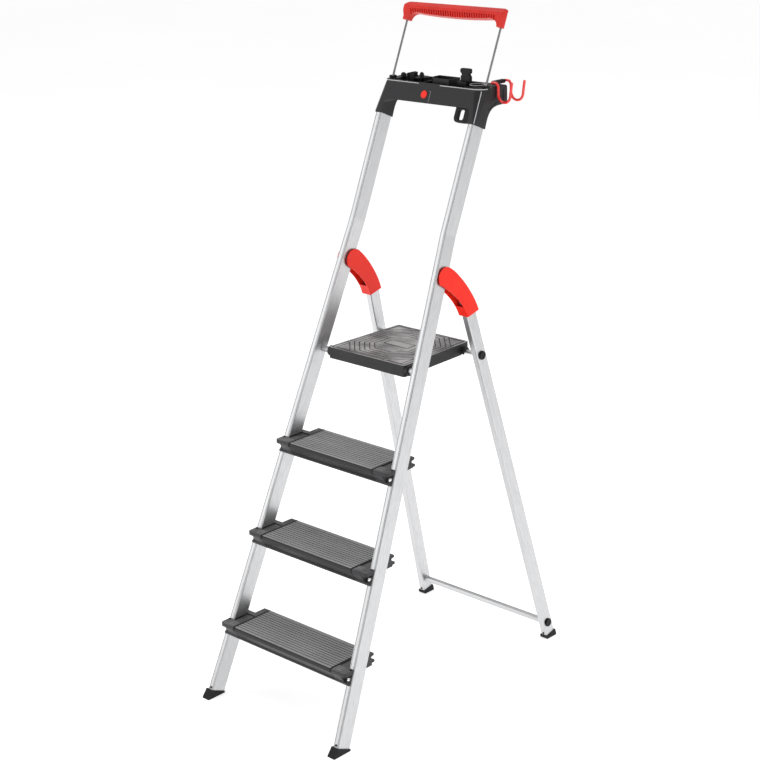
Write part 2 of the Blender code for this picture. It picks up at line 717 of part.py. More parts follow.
def make_strut():
    half = leg_x(STRUT_T) - LEG_WIDTH / 2.0 - GAP - LEG_TAPER * STRUT_RADIUS - 0.0002
    mesh = rod(STRUT_RADIUS, (-half, REST_ROD_D, STRUT_T), (half, REST_ROD_D, STRUT_T), 20)
    strut = place("rear_strut", mesh, ALUMINIUM, REAR, smooth=True)
    past = half + 0.01
    bore = rod(STRUT_RADIUS - 0.0015, (-past, REST_ROD_D, STRUT_T), (past, REST_ROD_D, STRUT_T), 16)
    cut(strut, bore, REAR, "bore")
    for name, side in SIDES:
        middle = leg_x(STRUT_T)
        start, end = middle - LEG_WIDTH / 2.0 - 0.010, middle + LEG_WIDTH / 2.0
        mesh = rod(0.0050, (side * start, REST_ROD_D, STRUT_T), (side * end, REST_ROD_D, STRUT_T), 16)
        place(f"strut_rivet_{name}", mesh, STEEL, REAR, smooth=True)
        make_cap(f"strut_cap_{name}", side, STRUT_T)


def make_rest_rod():
    half = leg_x(REST_ROD_T) + LEG_WIDTH / 2.0
    mesh = rod(REST_ROD_RADIUS, (-half, REST_ROD_D, REST_ROD_T), (half, REST_ROD_D, REST_ROD_T), 20)
    place("platform_rest_rod", mesh, ALUMINIUM, REAR, smooth=True)
    for name, side in SIDES:
        make_cap(f"rest_rod_cap_{name}", side, REST_ROD_T)


def cover_outline(inset):
    """Side view of the hinge cover about the pin: a round head on a curved neck.

    inset draws the same shape smaller all round, for the room inside.
    """
    head = COVER_HEAD_RADIUS - inset
    outline = arc(0.0, 0.0, head, 195, 45, 12)
    outer = (0.0828 - inset, COVER_END)
    outline += bezier(outline[-1], (0.0480 - inset, -0.0080 - inset), (0.0812 - inset, -0.0850), outer, 10)
    outline += [(0.0390 + inset, COVER_END), (0.0370 + inset, -0.1160)]
    low, high = (0.0300 + inset, -0.0800 + inset), (0.0050 + inset, -0.0380 + inset)
    outline += bezier(outline[-1], low, high, outline[0], 8)[:-1]
    return outline


def shell_side(name, side, label, cheek, seam, lean):
    """One half of a hinge cover: a cheek with a wall along the outer curve and round the leg."""
    inward = COVER_WALL if seam > cheek else -COVER_WALL
    low, high = sorted((side * cheek, side * seam))
    shell = place(
        f"hinge_cover_{label}_{name}",
        leaned(slab([cover_outline(0.0)], low, high, "YZ"), side), RED_PLASTIC, REAR)
    low, high = sorted((side * (cheek + inward), side * (seam + 0.02 * lean)))
    room = cover_outline(COVER_WALL)
    room = [(u, v - 0.01 if v < COVER_END + 0.005 else v) for u, v in room]
    cut(shell, leaned(slab([room], low, high, "YZ"), side), REAR, "room")
    opening = arc(0.0, 0.0, 0.0490, 235, 38, 12) + [(STILE_SWEEP, -0.0030), (STILE_SWEEP, -0.0400)]
    opening += [(0.0220, -0.0600), (0.0340, -0.0860), (0.0385, -0.1000), (0.0200, -0.1000)]
    cut(shell, leaned(slab([opening], low, high, "YZ"), side), REAR, "stile_room")
    if label == "inner":
        cut(shell, leaned(head_front(side), side), REAR, "head_front")


def head_front(side):
    """The front of an inner head, cut back in an arc so that it stays behind the open stile's face."""
    lean = FRONT_LEAN + REAR_LEAN
    along = Vector((math.sin(lean), math.cos(lean)))
    across = Vector((math.cos(lean), -math.sin(lean)))
    outline = arc(HEAD_TRIM_BACK, 0.0, HEAD_TRIM_RADIUS, 85, 275, 16)
    outline += [(HEAD_TRIM_BACK, -0.0500), (-0.0500, -0.0500), (-0.0500, 0.0500), (HEAD_TRIM_BACK, 0.0500)]
    outline = [tuple(across * depth + along * reach) for depth, reach in outline]
    low, high = sorted((side * -0.02, side * COVER_SEAM))
    return slab([outline], low, high, "YZ")


def arm_outline():
    """Side view of a hinge arm: an eye round the pin and a band along the cover's outer curve."""
    inset = COVER_WALL + 0.0018
    outline = arc(0.0, 0.0, ARM_HEAD_RADIUS, 195, 45, 10)
    outer = (0.0828 - inset, ARM_END)
    outline += bezier(outline[-1], (0.0400, -0.0140), (0.0812 - inset, -0.0850), outer, 10)
    outline += [(0.0540, ARM_END), (0.0530, -0.1160)]
    outline += bezier(outline[-1], (0.0480, -0.0780), (0.0140, -0.0420), outline[0], 8)[:-1]
    return outline


def leaned(mesh, side):
    """Shear a hinge piece so that it follows the leg's taper, and move it to the leg's side."""
    shear = Matrix.Identity(4)
    shear[0][2] = -side * LEG_TAPER
    shear[0][3] = side * LEG_HALF_SPREAD
    mesh.transform(shear)
    return outward(mesh)


def make_hinge(name, side):
    shell_side(name, side, "outer", COVER_OUTSIDE, COVER_SEAM + GAP / 2, -1)
    shell_side(name, side, "inner", COVER_INSIDE, COVER_SEAM - GAP / 2, 1)
    arm = arm_outline()
    plates = (("outer", 0.0097, COVER_OUTSIDE - COVER_WALL - GAP), ("inner", -0.0097 - ARM_THICK, -0.0097))
    for label, near, far in plates:
        low, high = sorted((side * near, side * far))
        plate = place(
            f"hinge_arm_{label}_{name}", leaned(slab([arm], low, high, "YZ"), side), STEEL, REAR)
        pin_hole = leaned(rod(PIN_RADIUS + GAP, (-0.03, 0.0, 0.0), (0.03, 0.0, 0.0), 16), side)
        cut(plate, pin_hole, REAR, "pin")
        if label == "inner":
            cut(plate, leaned(head_front(side), side), REAR, "head_front")
        else:
            relief = arc(0.0, 0.0, 0.0500, 225, 45, 12) + [(0.0330, 0.0200), (0.0330, -0.0560)]
            low, high = sorted((0.0, side * 0.0131))
            cut(plate, leaned(slab([relief], low, high, "YZ"), side), REAR, "stile_room")
    ends = sorted((side * (-0.0097 - ARM_THICK), side * (COVER_OUTSIDE - COVER_WALL - GAP)))
    pin = leaned(rod(PIN_RADIUS, (ends[0], 0.0, 0.0), (ends[1], 0.0, 0.0), 16), side)
    place(f"hinge_pin_{name}", pin, STEEL, REAR, smooth=True)


# ---------------------------------------------------------------- tray
def tray_outline():
    """Side view of the tray in the upright frame: sockets in front, a curved arm to the rear."""
    front_low = lean_point(TRAY_FRONT, SOCKET_END)
    front_high = lean_at_height(TRAY_FRONT, TRAY_TOP)
    back_low = lean_point(STILE_DEPTH + 0.0012, SOCKET_END)
    outline = [front_low, front_high, (TRAY_REAR - 0.004, TRAY_TOP + 0.002), (TRAY_REAR, TRAY_TOP - 0.002)]
    outline += [(TRAY_REAR, TRAY_UNDER + 0.003), (TRAY_REAR - 0.004, TRAY_UNDER)]
    start = (0.7400, TRAY_UNDER)
    outline.append(start)
    outline += bezier(start, (0.7080, TRAY_UNDER), (0.6950, 1.4890), back_low, 8)
    return outline


def lean_point(d, s):
    """Upright y and z of a point in the leaning frame."""
    return (s * math.sin(FRONT_LEAN) + d * math.cos(FRONT_LEAN),
            s * math.cos(FRONT_LEAN) - d * math.sin(FRONT_LEAN))


def lean_at_height(d, z):
    return lean_point(d, (z + d * math.sin(FRONT_LEAN)) / math.cos(FRONT_LEAN))


def under_corner(gap):
    """Round corner, seen from the front, between the tray's underside and its right socket."""
    under = WALL_END * math.cos(FRONT_LEAN)
    return arc(SOCKET_INNER - UNDER_RADIUS, under - UNDER_RADIUS, UNDER_RADIUS - gap, 0, 90, 4)


def tray_corner(side, radius):
    """What a round front corner of the tray leaves out, seen along the stile."""
    middle_x, middle_d = TRAY_HALF - radius, TRAY_FRONT + radius
    outline = [(middle_x, TRAY_FRONT - 0.0200)] + arc(middle_x, middle_d, radius, -90, 0, 6)
    outline += [(TRAY_HALF + 0.0200, middle_d), (TRAY_HALF + 0.0200, TRAY_FRONT - 0.0200)]
    return [(side * x, d) for x, d in outline]


def make_tray():
    tray = place("tray", slab([tray_outline()], -TRAY_HALF, TRAY_HALF, "YZ"), TRAY_GREY, BASE)
    lip = slab([[(-0.0420, 1.6750), (0.0300, 1.6750), (0.0290, LIP_TOP), (-0.0410, LIP_TOP)]],
               TRAY_FRONT, TRAY_FRONT + 0.0040, "XZ")
    join(tray, lip, FRONT, "lip")
    corner = under_corner(0.0)
    opening = [(-SOCKET_INNER, 1.40), (SOCKET_INNER, 1.40)] + corner
    opening += [(-x, z) for x, z in reversed(corner)]
    cut(tray, slab([opening], 0.55, 0.85, "XZ"), BASE, "between_sockets")
    front = lean_at_height(TRAY_FRONT, TRAY_TOP)[0] + 0.0040
    rear = TRAY_REAR - 0.0035
    top = TRAY_TOP + 0.02
    cut(tray, box((-0.1420, front + 0.012, TRAY_FLOOR), (-0.0460, rear, top)), BASE, "left_room")
    cut(tray, box((-0.0420, front + 0.006, TRAY_FLOOR), (0.0980, rear, top)), BASE, "middle_room")
    hole = rod(0.0145, (RING_X, RING_Y, TRAY_FLOOR), (RING_X, RING_Y, top), 28)
    cut(tray, hole, BASE, "ring_hole")
    for name, side in SIDES:
        x0, x1 = stile_x(STILE_TOP) - STILE_WIDTH / 2 - GAP, stile_x(STILE_TOP) + STILE_WIDTH / 2 + GAP
        socket = side_box(side * x0, side * x1, -GAP, STILE_DEPTH + GAP, 1.50, STILE_TOP + GAP)
        cut(tray, socket, FRONT, f"stile_{name}")
        bore = rod(ROD_RADIUS + 0.0005, (side * ROD_X, ROD_D, 1.60), (side * ROD_X, ROD_D, 1.80), 16)
        cut(tray, bore, FRONT, f"rail_{name}")
        corner = loft(
            tray_corner(side, CORNER_LOW), tray_corner(side, CORNER_HIGH), SOCKET_END - 0.0050, CORNER_TOP)
        cut(tray, corner, FRONT, f"corner_{name}")
        panel = [(0.6790, 1.5380), (0.7560, 1.5390), (0.7560, 1.5080), (0.7300, 1.5080), (0.6960, 1.4920)]
        low, high = sorted((side * (TRAY_HALF - 0.0012), side * (TRAY_HALF + 0.01)))
        cut(tray, slab([panel], low, high, "YZ"), BASE, f"side_panel_{name}")


def make_tray_fittings():
    s = WALL_END + 0.021
    badge = [(0.0, 0.0), (0.0100, 0.0), (0.0100, 0.0010), (0.0092, 0.0018), (0.0, 0.0022)]
    mesh = turned(badge, (-0.0150, TRAY_FRONT - GAP, s), (0.0, -1.0, 0.0), 24)
    place("tray_badge", mesh, RED_PLASTIC, FRONT, smooth=True)
    seat = TRAY_TOP + 0.0018
    for name, side in SIDES:
        collar = turned_ring(ROD_RADIUS + 0.0030, 0.0100, 0.0058, 20)
        rod_y = lean_at_height(ROD_D, seat + 0.0029)[0]
        mesh = moved(collar, x=side * ROD_X, y=rod_y, z=seat)
        place(f"rod_collar_{name}", mesh, BLACK_PLASTIC, BASE, smooth=True)
    ring = moved(turned_ring(0.0148, 0.0205, 0.0030, 28), x=RING_X, y=RING_Y, z=seat)
    place("tray_ring", ring, TRAY_GREY, BASE, smooth=True)
    make_bit_box()
    make_clamp()
    make_pegs()
    make_cable_loop()
    make_hooks()


def turned_ring(inner, outer, height, steps):
    """Flat ring with chamfered top edges, standing on its own origin."""
    edge = 0.0008
    bm = bmesh.new()
    profile = [
        (inner, 0.0), (outer, 0.0), (outer, height - edge), (outer - edge, height),
        (inner + edge, height), (inner, height - edge)]
    verts = [bm.verts.new((radius, 0.0, z)) for radius, z in profile]
    edges = [bm.edges.new((verts[i], verts[(i + 1) % len(verts)])) for i in range(len(verts))]
    bmesh.ops.spin(
        bm, geom=verts + edges, cent=(0.0, 0.0, 0.0), axis=(0.0, 0.0, 1.0),
        angle=math.tau, steps=steps, use_merge=True, use_duplicate=False)
    bmesh.ops.remove_doubles(bm, verts=bm.verts, dist=0.00002)
    return mesh_of(bm)


def make_bit_box():
    """Open box with a pointed left end, standing in the middle room of the tray."""
    left, right, wall = BIT_BOX_LEFT, BIT_BOX_RIGHT, 0.0025
    outline = [(left, 0.7060), (left + 0.0180, 0.6900), (right, 0.6900), (right, 0.7350), (left, 0.7350)]
    mesh = slab([outline], TRAY_FLOOR + GAP, TRAY_TOP + 0.0140, "XY")
    part = place("bit_box", mesh, TRAY_GREY, BASE)
    inner = [
        (left + wall, 0.7072), (left + 0.0190, 0.6900 + wall), (right - wall, 0.6900 + wall),
        (right - wall, 0.7350 - wall), (left + wall, 0.7350 - wall)]
    cut(part, slab([inner], TRAY_TOP - 0.010, TRAY_TOP + 0.03, "XY"), BASE, "room")


def make_clamp():
    """Clamp with a square foot and stem that stay, and a winged knob that turns."""
    x, y, top = CLAMP_X, CLAMP_Y, CLAMP_BASE_TOP
    mesh = box((x - 0.0160, y - 0.0130, TRAY_FLOOR + GAP), (x + 0.0160, y + 0.0130, top), 0.0020)
    base = place("clamp_base", mesh, BLACK_PLASTIC, BASE)
    cut(base, rod(0.0065, (KNOB_X, y, top - 0.012), (KNOB_X, y, top + 0.02), 20), BASE, "bore")
    axis = new_frame("clamp_axis", BASE, (KNOB_X, y, top), (0, 0, 0))
    place("clamp_knob", knob_mesh(), BLACK_PLASTIC, axis)


def knob_mesh():
    """Chunky body on a spigot, with a waist under its winged head. Front view, extruded."""
    half = [
        (0.0040, -0.0110), (0.0040, 0.0006), (0.0150, 0.0006), (0.0155, 0.0120), (0.0120, 0.0160),
        (0.0120, 0.0190), (0.0160, 0.0220), (0.0168, 0.0290), (0.0135, 0.0325)]
    outline = half + [(-u, v) for u, v in reversed(half)]
    return slab([outline], -0.0048, 0.0048, "XZ")


def make_pegs():
    """Cone on a disc, a small round cap and a slanted clip at the left end of the tray."""
    floor = TRAY_FLOOR + GAP
    rise = TRAY_TOP + 0.0060 - floor
    peg = [
        (0.0, 0.0), (0.0060, 0.0), (0.0060, rise), (0.0200, rise + 0.0005), (0.0200, rise + 0.0030),
        (0.0070, rise + 0.0045), (0.0050, rise + 0.0120), (0.0025, rise + 0.0145), (0.0, rise + 0.0148)]
    mesh = turned(peg, (-0.0690, 0.7150, floor), (0, 0, 1), 24)
    place("tray_peg", mesh, BLACK_PLASTIC, BASE, smooth=True)
    stem = TRAY_TOP + 0.0005 - floor
    knob = [
        (0.0, 0.0), (0.0050, 0.0), (0.0050, stem), (0.0074, stem + 0.0060), (0.0064, stem + 0.0140),
        (0.0030, stem + 0.0165), (0.0, stem + 0.0166)]
    mesh = turned(knob, (-0.1250, 0.7060, floor), (0, 0, 1), 16)
    place("tray_cap", mesh, BLACK_PLASTIC, BASE, smooth=True)
    outline = [
        (-0.1130, floor), (-0.0960, floor), (-0.0920, TRAY_TOP + 0.0180), (-0.1000, TRAY_TOP + 0.0195),
        (-0.1190, TRAY_TOP + 0.0150), (-0.1170, TRAY_TOP + 0.0040)]
    place("tray_clip", slab([outline], 0.7120, 0.7260, "XZ"), BLACK_PLASTIC, BASE)


def make_cable_loop():
    """Hanging loop with a slot, under the tray's right end."""
    top = WALL_END + 0.0200
    outer = [(0.0966, top), (0.1425, top)]
    outer += arc(0.1325, 1.6105, 0.0100, 0, -90, 4) + arc(0.1086, 1.6125, 0.0120, 270, 180, 4)
    slot = rounded_rectangle(0.1085, 0.1270, 1.6075, WALL_END - 0.0040, 0.0050, 3)
    mesh = slab([outer, slot], TRAY_FRONT + 0.004, TRAY_FRONT + 0.014, "XZ")
    loop = place("cable_loop", mesh, BLACK_PLASTIC, FRONT)
    corner = under_corner(GAP)
    tray_room = [(0.08, corner[-1][1])] + corner[::-1] + [(corner[0][0], 1.40)]
    tray_room += [(0.20, 1.40), (0.20, 1.60), (0.08, 1.60)]
    cut(loop, slab([tray_room], 0.55, 0.85, "XZ"), BASE, "tray")


def hook_path(y):
    """One J of the bucket hook, in an upright plane across the tray's right arm."""
    path = [(0.1520, y, 1.5555), (0.1600, y, 1.5568), (0.1685, y, 1.5558), (0.1738, y, 1.5490)]
    bottom = arc(0.1933, 1.5290, 0.0195, 180, 350, 12)
    path += [(x, y, z) for x, z in bottom]
    path.append((0.2180, y, 1.5610))
    return path


def make_hooks():
    for label, y in (("front", 0.7300), ("rear", 0.7800)):
        place(f"bucket_hook_{label}", wire(hook_path(y), 0.0035), RED_STEEL, BASE, smooth=True)
    clip = box((0.1480, 0.7340, TRAY_TOP + 0.0045), (0.1600, 0.7760, TRAY_TOP + 0.0140), 0.0015)
    place("hook_clip", clip, BLACK_PLASTIC, BASE)


# ---------------------------------------------------------------- hand rail
def make_rail():
    for name, side in SIDES:
        x = side * ROD_X
        mesh = rod(ROD_RADIUS, (x, ROD_D, ROD_LOWER_END), (x, ROD_D, ROD_UPPER_END), 16)
        place(f"handle_rod_{name}", mesh, STEEL, RAIL, smooth=True)
    grip = place("handle_grip", grip_front_view(), RED_PLASTIC, RAIL)
    combine(grip, grip_side_view(), RAIL, "section", "INTERSECT")
    combine(grip, grip_plan(), RAIL, "plan", "INTERSECT")
    for name, side in SIDES:
        x, end = side * ROD_X, ROD_UPPER_END + GAP
        bore = rod(ROD_RADIUS + GAP, (x, ROD_D, 1.80), (x, ROD_D, end), 16)
        cut(grip, bore, RAIL, f"rod_{name}")
    cut(grip, grip_slots(), RAIL, "slots")


def grip_front_view():
    """Bar with a slightly bellied underside between two short posts for the rods."""
    top, half, post = GRIP_TOP, GRIP_HALF, POST_END
    outline = arc(half - 0.0140, top - 0.0140, 0.0140, 90, 0, 5) + [(half - 0.0006, post), (0.1500, post)]
    outline += bezier(outline[-1], (0.1480, 1.8640), (0.1400, 1.8715), (0.1250, 1.8720), 5)
    outline += bezier(outline[-1], (0.0500, 1.8655), (-0.0500, 1.8655), (-0.1250, 1.8720), 10)
    outline += bezier(outline[-1], (-0.1400, 1.8715), (-0.1480, 1.8640), (-0.1500, post), 5)
    outline += [(-half + 0.0006, post)] + arc(-half + 0.0140, top - 0.0140, 0.0140, 180, 90, 5)
    return slab([outline], -0.02, 0.06, "XZ")


def grip_side_view():
    """Section with a crowned top that slopes down to a round front edge, and a slanted underside."""
    front, rear, top = GRIP_FRONT, GRIP_REAR, GRIP_TOP
    outline = [(front + 0.0105, POST_END - 0.01), (front + 0.0110, 1.8620), (front + 0.0016, 1.8805)]
    shoulder, crown = (front + 0.0026, 1.8880), (front + 0.0230, top)
    outline += bezier(outline[-1], (front - 0.0004, 1.8830), (front - 0.0002, 1.8862), shoulder, 4)
    outline += bezier(shoulder, (front + 0.0110, 1.8955), (front + 0.0160, top), crown, 6)
    outline += [(rear - 0.0030, top - 0.0015), (rear, top - 0.0060), (rear, POST_END - 0.01)]
    return slab([outline], -0.25, 0.25, "YZ")


def grip_plan():
    """Plan of the grip, with small front corners and large rear ones."""
    half, front, rear = GRIP_HALF, GRIP_FRONT, GRIP_REAR
    outline = arc(half - 0.0070, front + 0.0070, 0.0070, -90, 0, 4)
    outline += arc(half - 0.0120, rear - 0.0120, 0.0120, 0, 90, 5)
    outline += arc(-half + 0.0120, rear - 0.0120, 0.0120, 90, 180, 5)
    outline += arc(-half + 0.0070, front + 0.0070, 0.0070, 180, 270, 4)
    return slab([outline], 1.80, 1.95, "XY")


def grip_slots():
    """Row of slots across the grip's underside, open to the front."""
    bm = bmesh.new()
    outline = [(-0.0100, 1.8800), (0.0075, 1.8800), (0.0185, 1.8600), (-0.0100, 1.8600)]
    for number in range(SLOT_COUNT):
        middle = SLOT_PITCH * (number - (SLOT_COUNT - 1) / 2.0)
        rings = []
        for x in (middle - SLOT_WIDTH / 2.0, middle + SLOT_WIDTH / 2.0):
            rings.append([bm.verts.new((x, d, along)) for d, along in outline])
        bm.faces.new(rings[0])
        bm.faces.new(rings[1])
        for i in range(len(outline)):
            j = (i + 1) % len(outline)
            bm.faces.new((rings[0][i], rings[0][j], rings[1][j], rings[1][i]))
    return mesh_of(bm)


# ---------------------------------------------------------------- build
clear_scene()
PARTS = new_collection("platform_step_ladder")
CUTTERS = new_collection("cutters")

ALUMINIUM = new_material("aluminium", (0.80, 0.81, 0.82), 0.35, 1.0)
STEEL = new_material("steel", (0.75, 0.75, 0.76), 0.25, 1.0)
BLACK_PLASTIC = new_material("black_plastic", (0.02, 0.02, 0.022), 0.45, 0.0)
BLACK_RUBBER = new_material("black_rubber", (0.02, 0.02, 0.02), 0.7, 0.0)
TREAD_GREY = new_material("tread_grey", (0.13, 0.13, 0.135), 0.5, 0.0)
DECK_GREY = new_material("deck_grey", (0.16, 0.16, 0.16), 0.55, 0.0)
TRAY_GREY = new_material("tray_grey", (0.07, 0.07, 0.075), 0.45, 0.0)
RED_PLASTIC = new_material("red_plastic", (0.90, 0.05, 0.03), 0.35, 0.0)
RED_STEEL = new_material("red_steel", (0.80, 0.02, 0.02), 0.3, 0.0)

BASE = new_frame("ladder_frame", None, (0.0, -MIDDLE_Y, 0.0), (0.0, 0.0, 0.0))
FRONT = new_frame("front_frame", BASE, (0.0, 0.0, 0.0), (-FRONT_LEAN, 0.0, 0.0))
REAR = new_frame("rear_hinge", BASE, (0.0, HINGE_Y, HINGE_Z), (REAR_LEAN, 0.0, 0.0))
PLATFORM = new_frame("platform_hinge", BASE, (0.0, AXLE_Y, AXLE_Z), (0.0, 0.0, 0.0))
RAIL = new_frame("rail_slide", FRONT, (0.0, 0.0, 0.0), (0.0, 0.0, 0.0))

for side_name, side_sign in SIDES:
    make_stile(side_name, side_sign)
    make_front_foot(side_name, side_sign)
    make_plug(f"front_foot_plug_{side_name}", side_sign * stile_x(PLUG_HEIGHT), 0.0, PLUG_HEIGHT, FRONT)
    make_leg(side_name, side_sign)
    make_rear_foot(side_name, side_sign)
    plug_t = floor_t(LEG_FRONT, 0.0160)
    make_plug(f"rear_foot_plug_{side_name}", side_sign * leg_x(plug_t), LEG_FRONT, plug_t, REAR)
    make_hinge(side_name, side_sign)
for tread_level, tread_name in enumerate(TREAD_NAMES):
    make_tread(tread_level, tread_name)
make_axle()
make_platform()
make_strut()
make_rest_rod()
make_tray()
make_tray_fittings()
make_rail()
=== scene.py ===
"""Looks of the platform step ladder: materials, small fittings, floor, light and camera."""
import json
import math

import bmesh
import bpy
from mathutils import Matrix, Vector


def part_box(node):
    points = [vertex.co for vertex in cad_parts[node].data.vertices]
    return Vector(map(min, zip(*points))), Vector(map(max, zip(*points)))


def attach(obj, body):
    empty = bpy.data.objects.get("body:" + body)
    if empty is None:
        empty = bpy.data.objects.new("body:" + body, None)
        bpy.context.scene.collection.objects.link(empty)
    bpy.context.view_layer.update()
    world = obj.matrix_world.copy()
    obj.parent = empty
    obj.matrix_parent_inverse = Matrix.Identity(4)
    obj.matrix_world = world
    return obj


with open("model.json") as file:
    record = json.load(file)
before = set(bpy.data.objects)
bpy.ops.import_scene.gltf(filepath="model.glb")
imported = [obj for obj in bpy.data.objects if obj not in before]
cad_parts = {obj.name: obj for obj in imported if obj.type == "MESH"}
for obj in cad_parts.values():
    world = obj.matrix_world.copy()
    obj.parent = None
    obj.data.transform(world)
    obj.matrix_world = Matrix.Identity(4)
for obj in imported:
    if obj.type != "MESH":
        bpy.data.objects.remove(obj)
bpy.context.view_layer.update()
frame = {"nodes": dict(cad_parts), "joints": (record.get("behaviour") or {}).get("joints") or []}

# ---------------------------------------------------------------- frames and sizes, in metres
NODES = frame["nodes"]
JOINTS = {joint["name"]: joint for joint in frame["joints"]}
SLIDE_AXIS = JOINTS["handle_slide"]["axis"]
FRONT_LEAN = math.atan2(SLIDE_AXIS[1], SLIDE_AXIS[2])
REAR_LEAN = math.radians(14.15)
HINGE = Vector(JOINTS["rear_fold"]["pos_m"])
FRONT_FOOT_TO_HINGE = 0.5174
FRONT_ORIGIN = (0.0, HINGE.y - FRONT_FOOT_TO_HINGE, 0.0)
FRONT = Matrix.Translation(FRONT_ORIGIN) @ Matrix.Rotation(-FRONT_LEAN, 4, "X")
ALONG_X = Matrix(((0, 0, 1, 0), (1, 0, 0, 0), (0, 1, 0, 0), (0, 0, 0, 1)))
FACE_OUT = Matrix.Rotation(math.pi / 2.0, 4, "X")
LEVEL = Matrix.Identity(4)

SIDES = (("left", -1), ("right", 1))
TREADS = ("lower", "middle", "upper")
STILE_HALF = 0.0094
BRACKET_LENGTH = 0.0520
BRACKET_INSET = 0.0020
BRACKET_PLATE = 0.0030
TREAD_NOSE = -0.0330
TREAD_FIRST = 0.2020
TREAD_RISE = 0.2300
TREAD_GROOVE = 0.0012
DECK_TOP = 0.8915
DECK_GROOVE = 0.0014
TRAY_FACE = -0.0025
TRAY_TOP = 1.5460
TRAY_HALF = 0.1697
LIP = (-0.0420, 0.0300)
CORNER_BOTTOM = 1.5950
CORNER_RADIUS = 0.0040
CORNER_GROWTH = 0.2733
SOCKET_END = 1.6000
HIGHLIGHT_WIRE = 0.0011
RING_STEPS = 40
WIRE_SIDES = 10

STUD_DROP = 0.0220
STUD_INSET = 0.0098
STUD_PROFILE = (
    (0.0, -0.0003), (0.0060, -0.0003), (0.0060, 0.0006), (0.0055, 0.0013),
    (0.0036, 0.0018), (0.0016, 0.0019), (0.0011, 0.0014), (0.0, 0.0013))
# Painted shade: sizes of the black strip in the joint between tread and bracket.
SHADE_STRIP_TAIL = 0.0980
SHADE_STRIP_ROUND = 0.0040
SHADE_STRIP_DROP = 0.0100
SHADE_STRIP_THICK = 0.0012
SHADE_STRIP_HALF = 0.0025
SHADE_STRIP_FROM_BRACKET = 0.0005
RIB_SUNK = 0.0004
RIB_RISE = 0.0008
FLANGE_RIBS = (0.0470, 0.0250, (-0.0230, -0.0160, -0.0090), 0.0024)
EAR_RIBS = (0.0390, 0.0200, (0.0490, 0.0545, 0.0600), 0.0030)
# Painted shade: place of the black strip beside the stile.
NOTCH_SHADE_X = (0.0209, 0.0193)
NOTCH_SHADE_Y = (0.0025, 0.0490)
STOP_INSET = 0.0075
STOP_AHEAD = 0.0055
STOP_PROFILE = ((0.0, 0.0), (0.0032, 0.0), (0.0032, 0.0014), (0.0022, 0.0024), (0.0, 0.0027))
RIVET_BELOW_SOCKET = 0.0095
RIVET_PROFILE = ((0.0, -0.0004), (0.0026, -0.0004), (0.0026, 0.0004), (0.0018, 0.0010), (0.0, 0.0012))
CORNER_HIGHLIGHT_ENDS = (1.6020, 1.6850)
PULL_PATH = ((0.0000, 1.6690), (0.0036, 1.6682), (0.0050, 1.6660), (0.0052, 1.6400))
PULL_THICK = 0.0011
PLATE_FROM_AXLE = 0.11425
PLATE_SHAPE = (0.0385, 0.0145, 0.0030)

CAMERA_PLACE = (3.0299, -3.1222, 2.2684)
CAMERA_YAW = 0.7678
CAMERA_PITCH = -0.3218
CAMERA_ROLL = -0.0329
CAMERA_LENS = 84.34
WORLD_LIGHT = 0.45
FLOOR_GLOW = 0.56


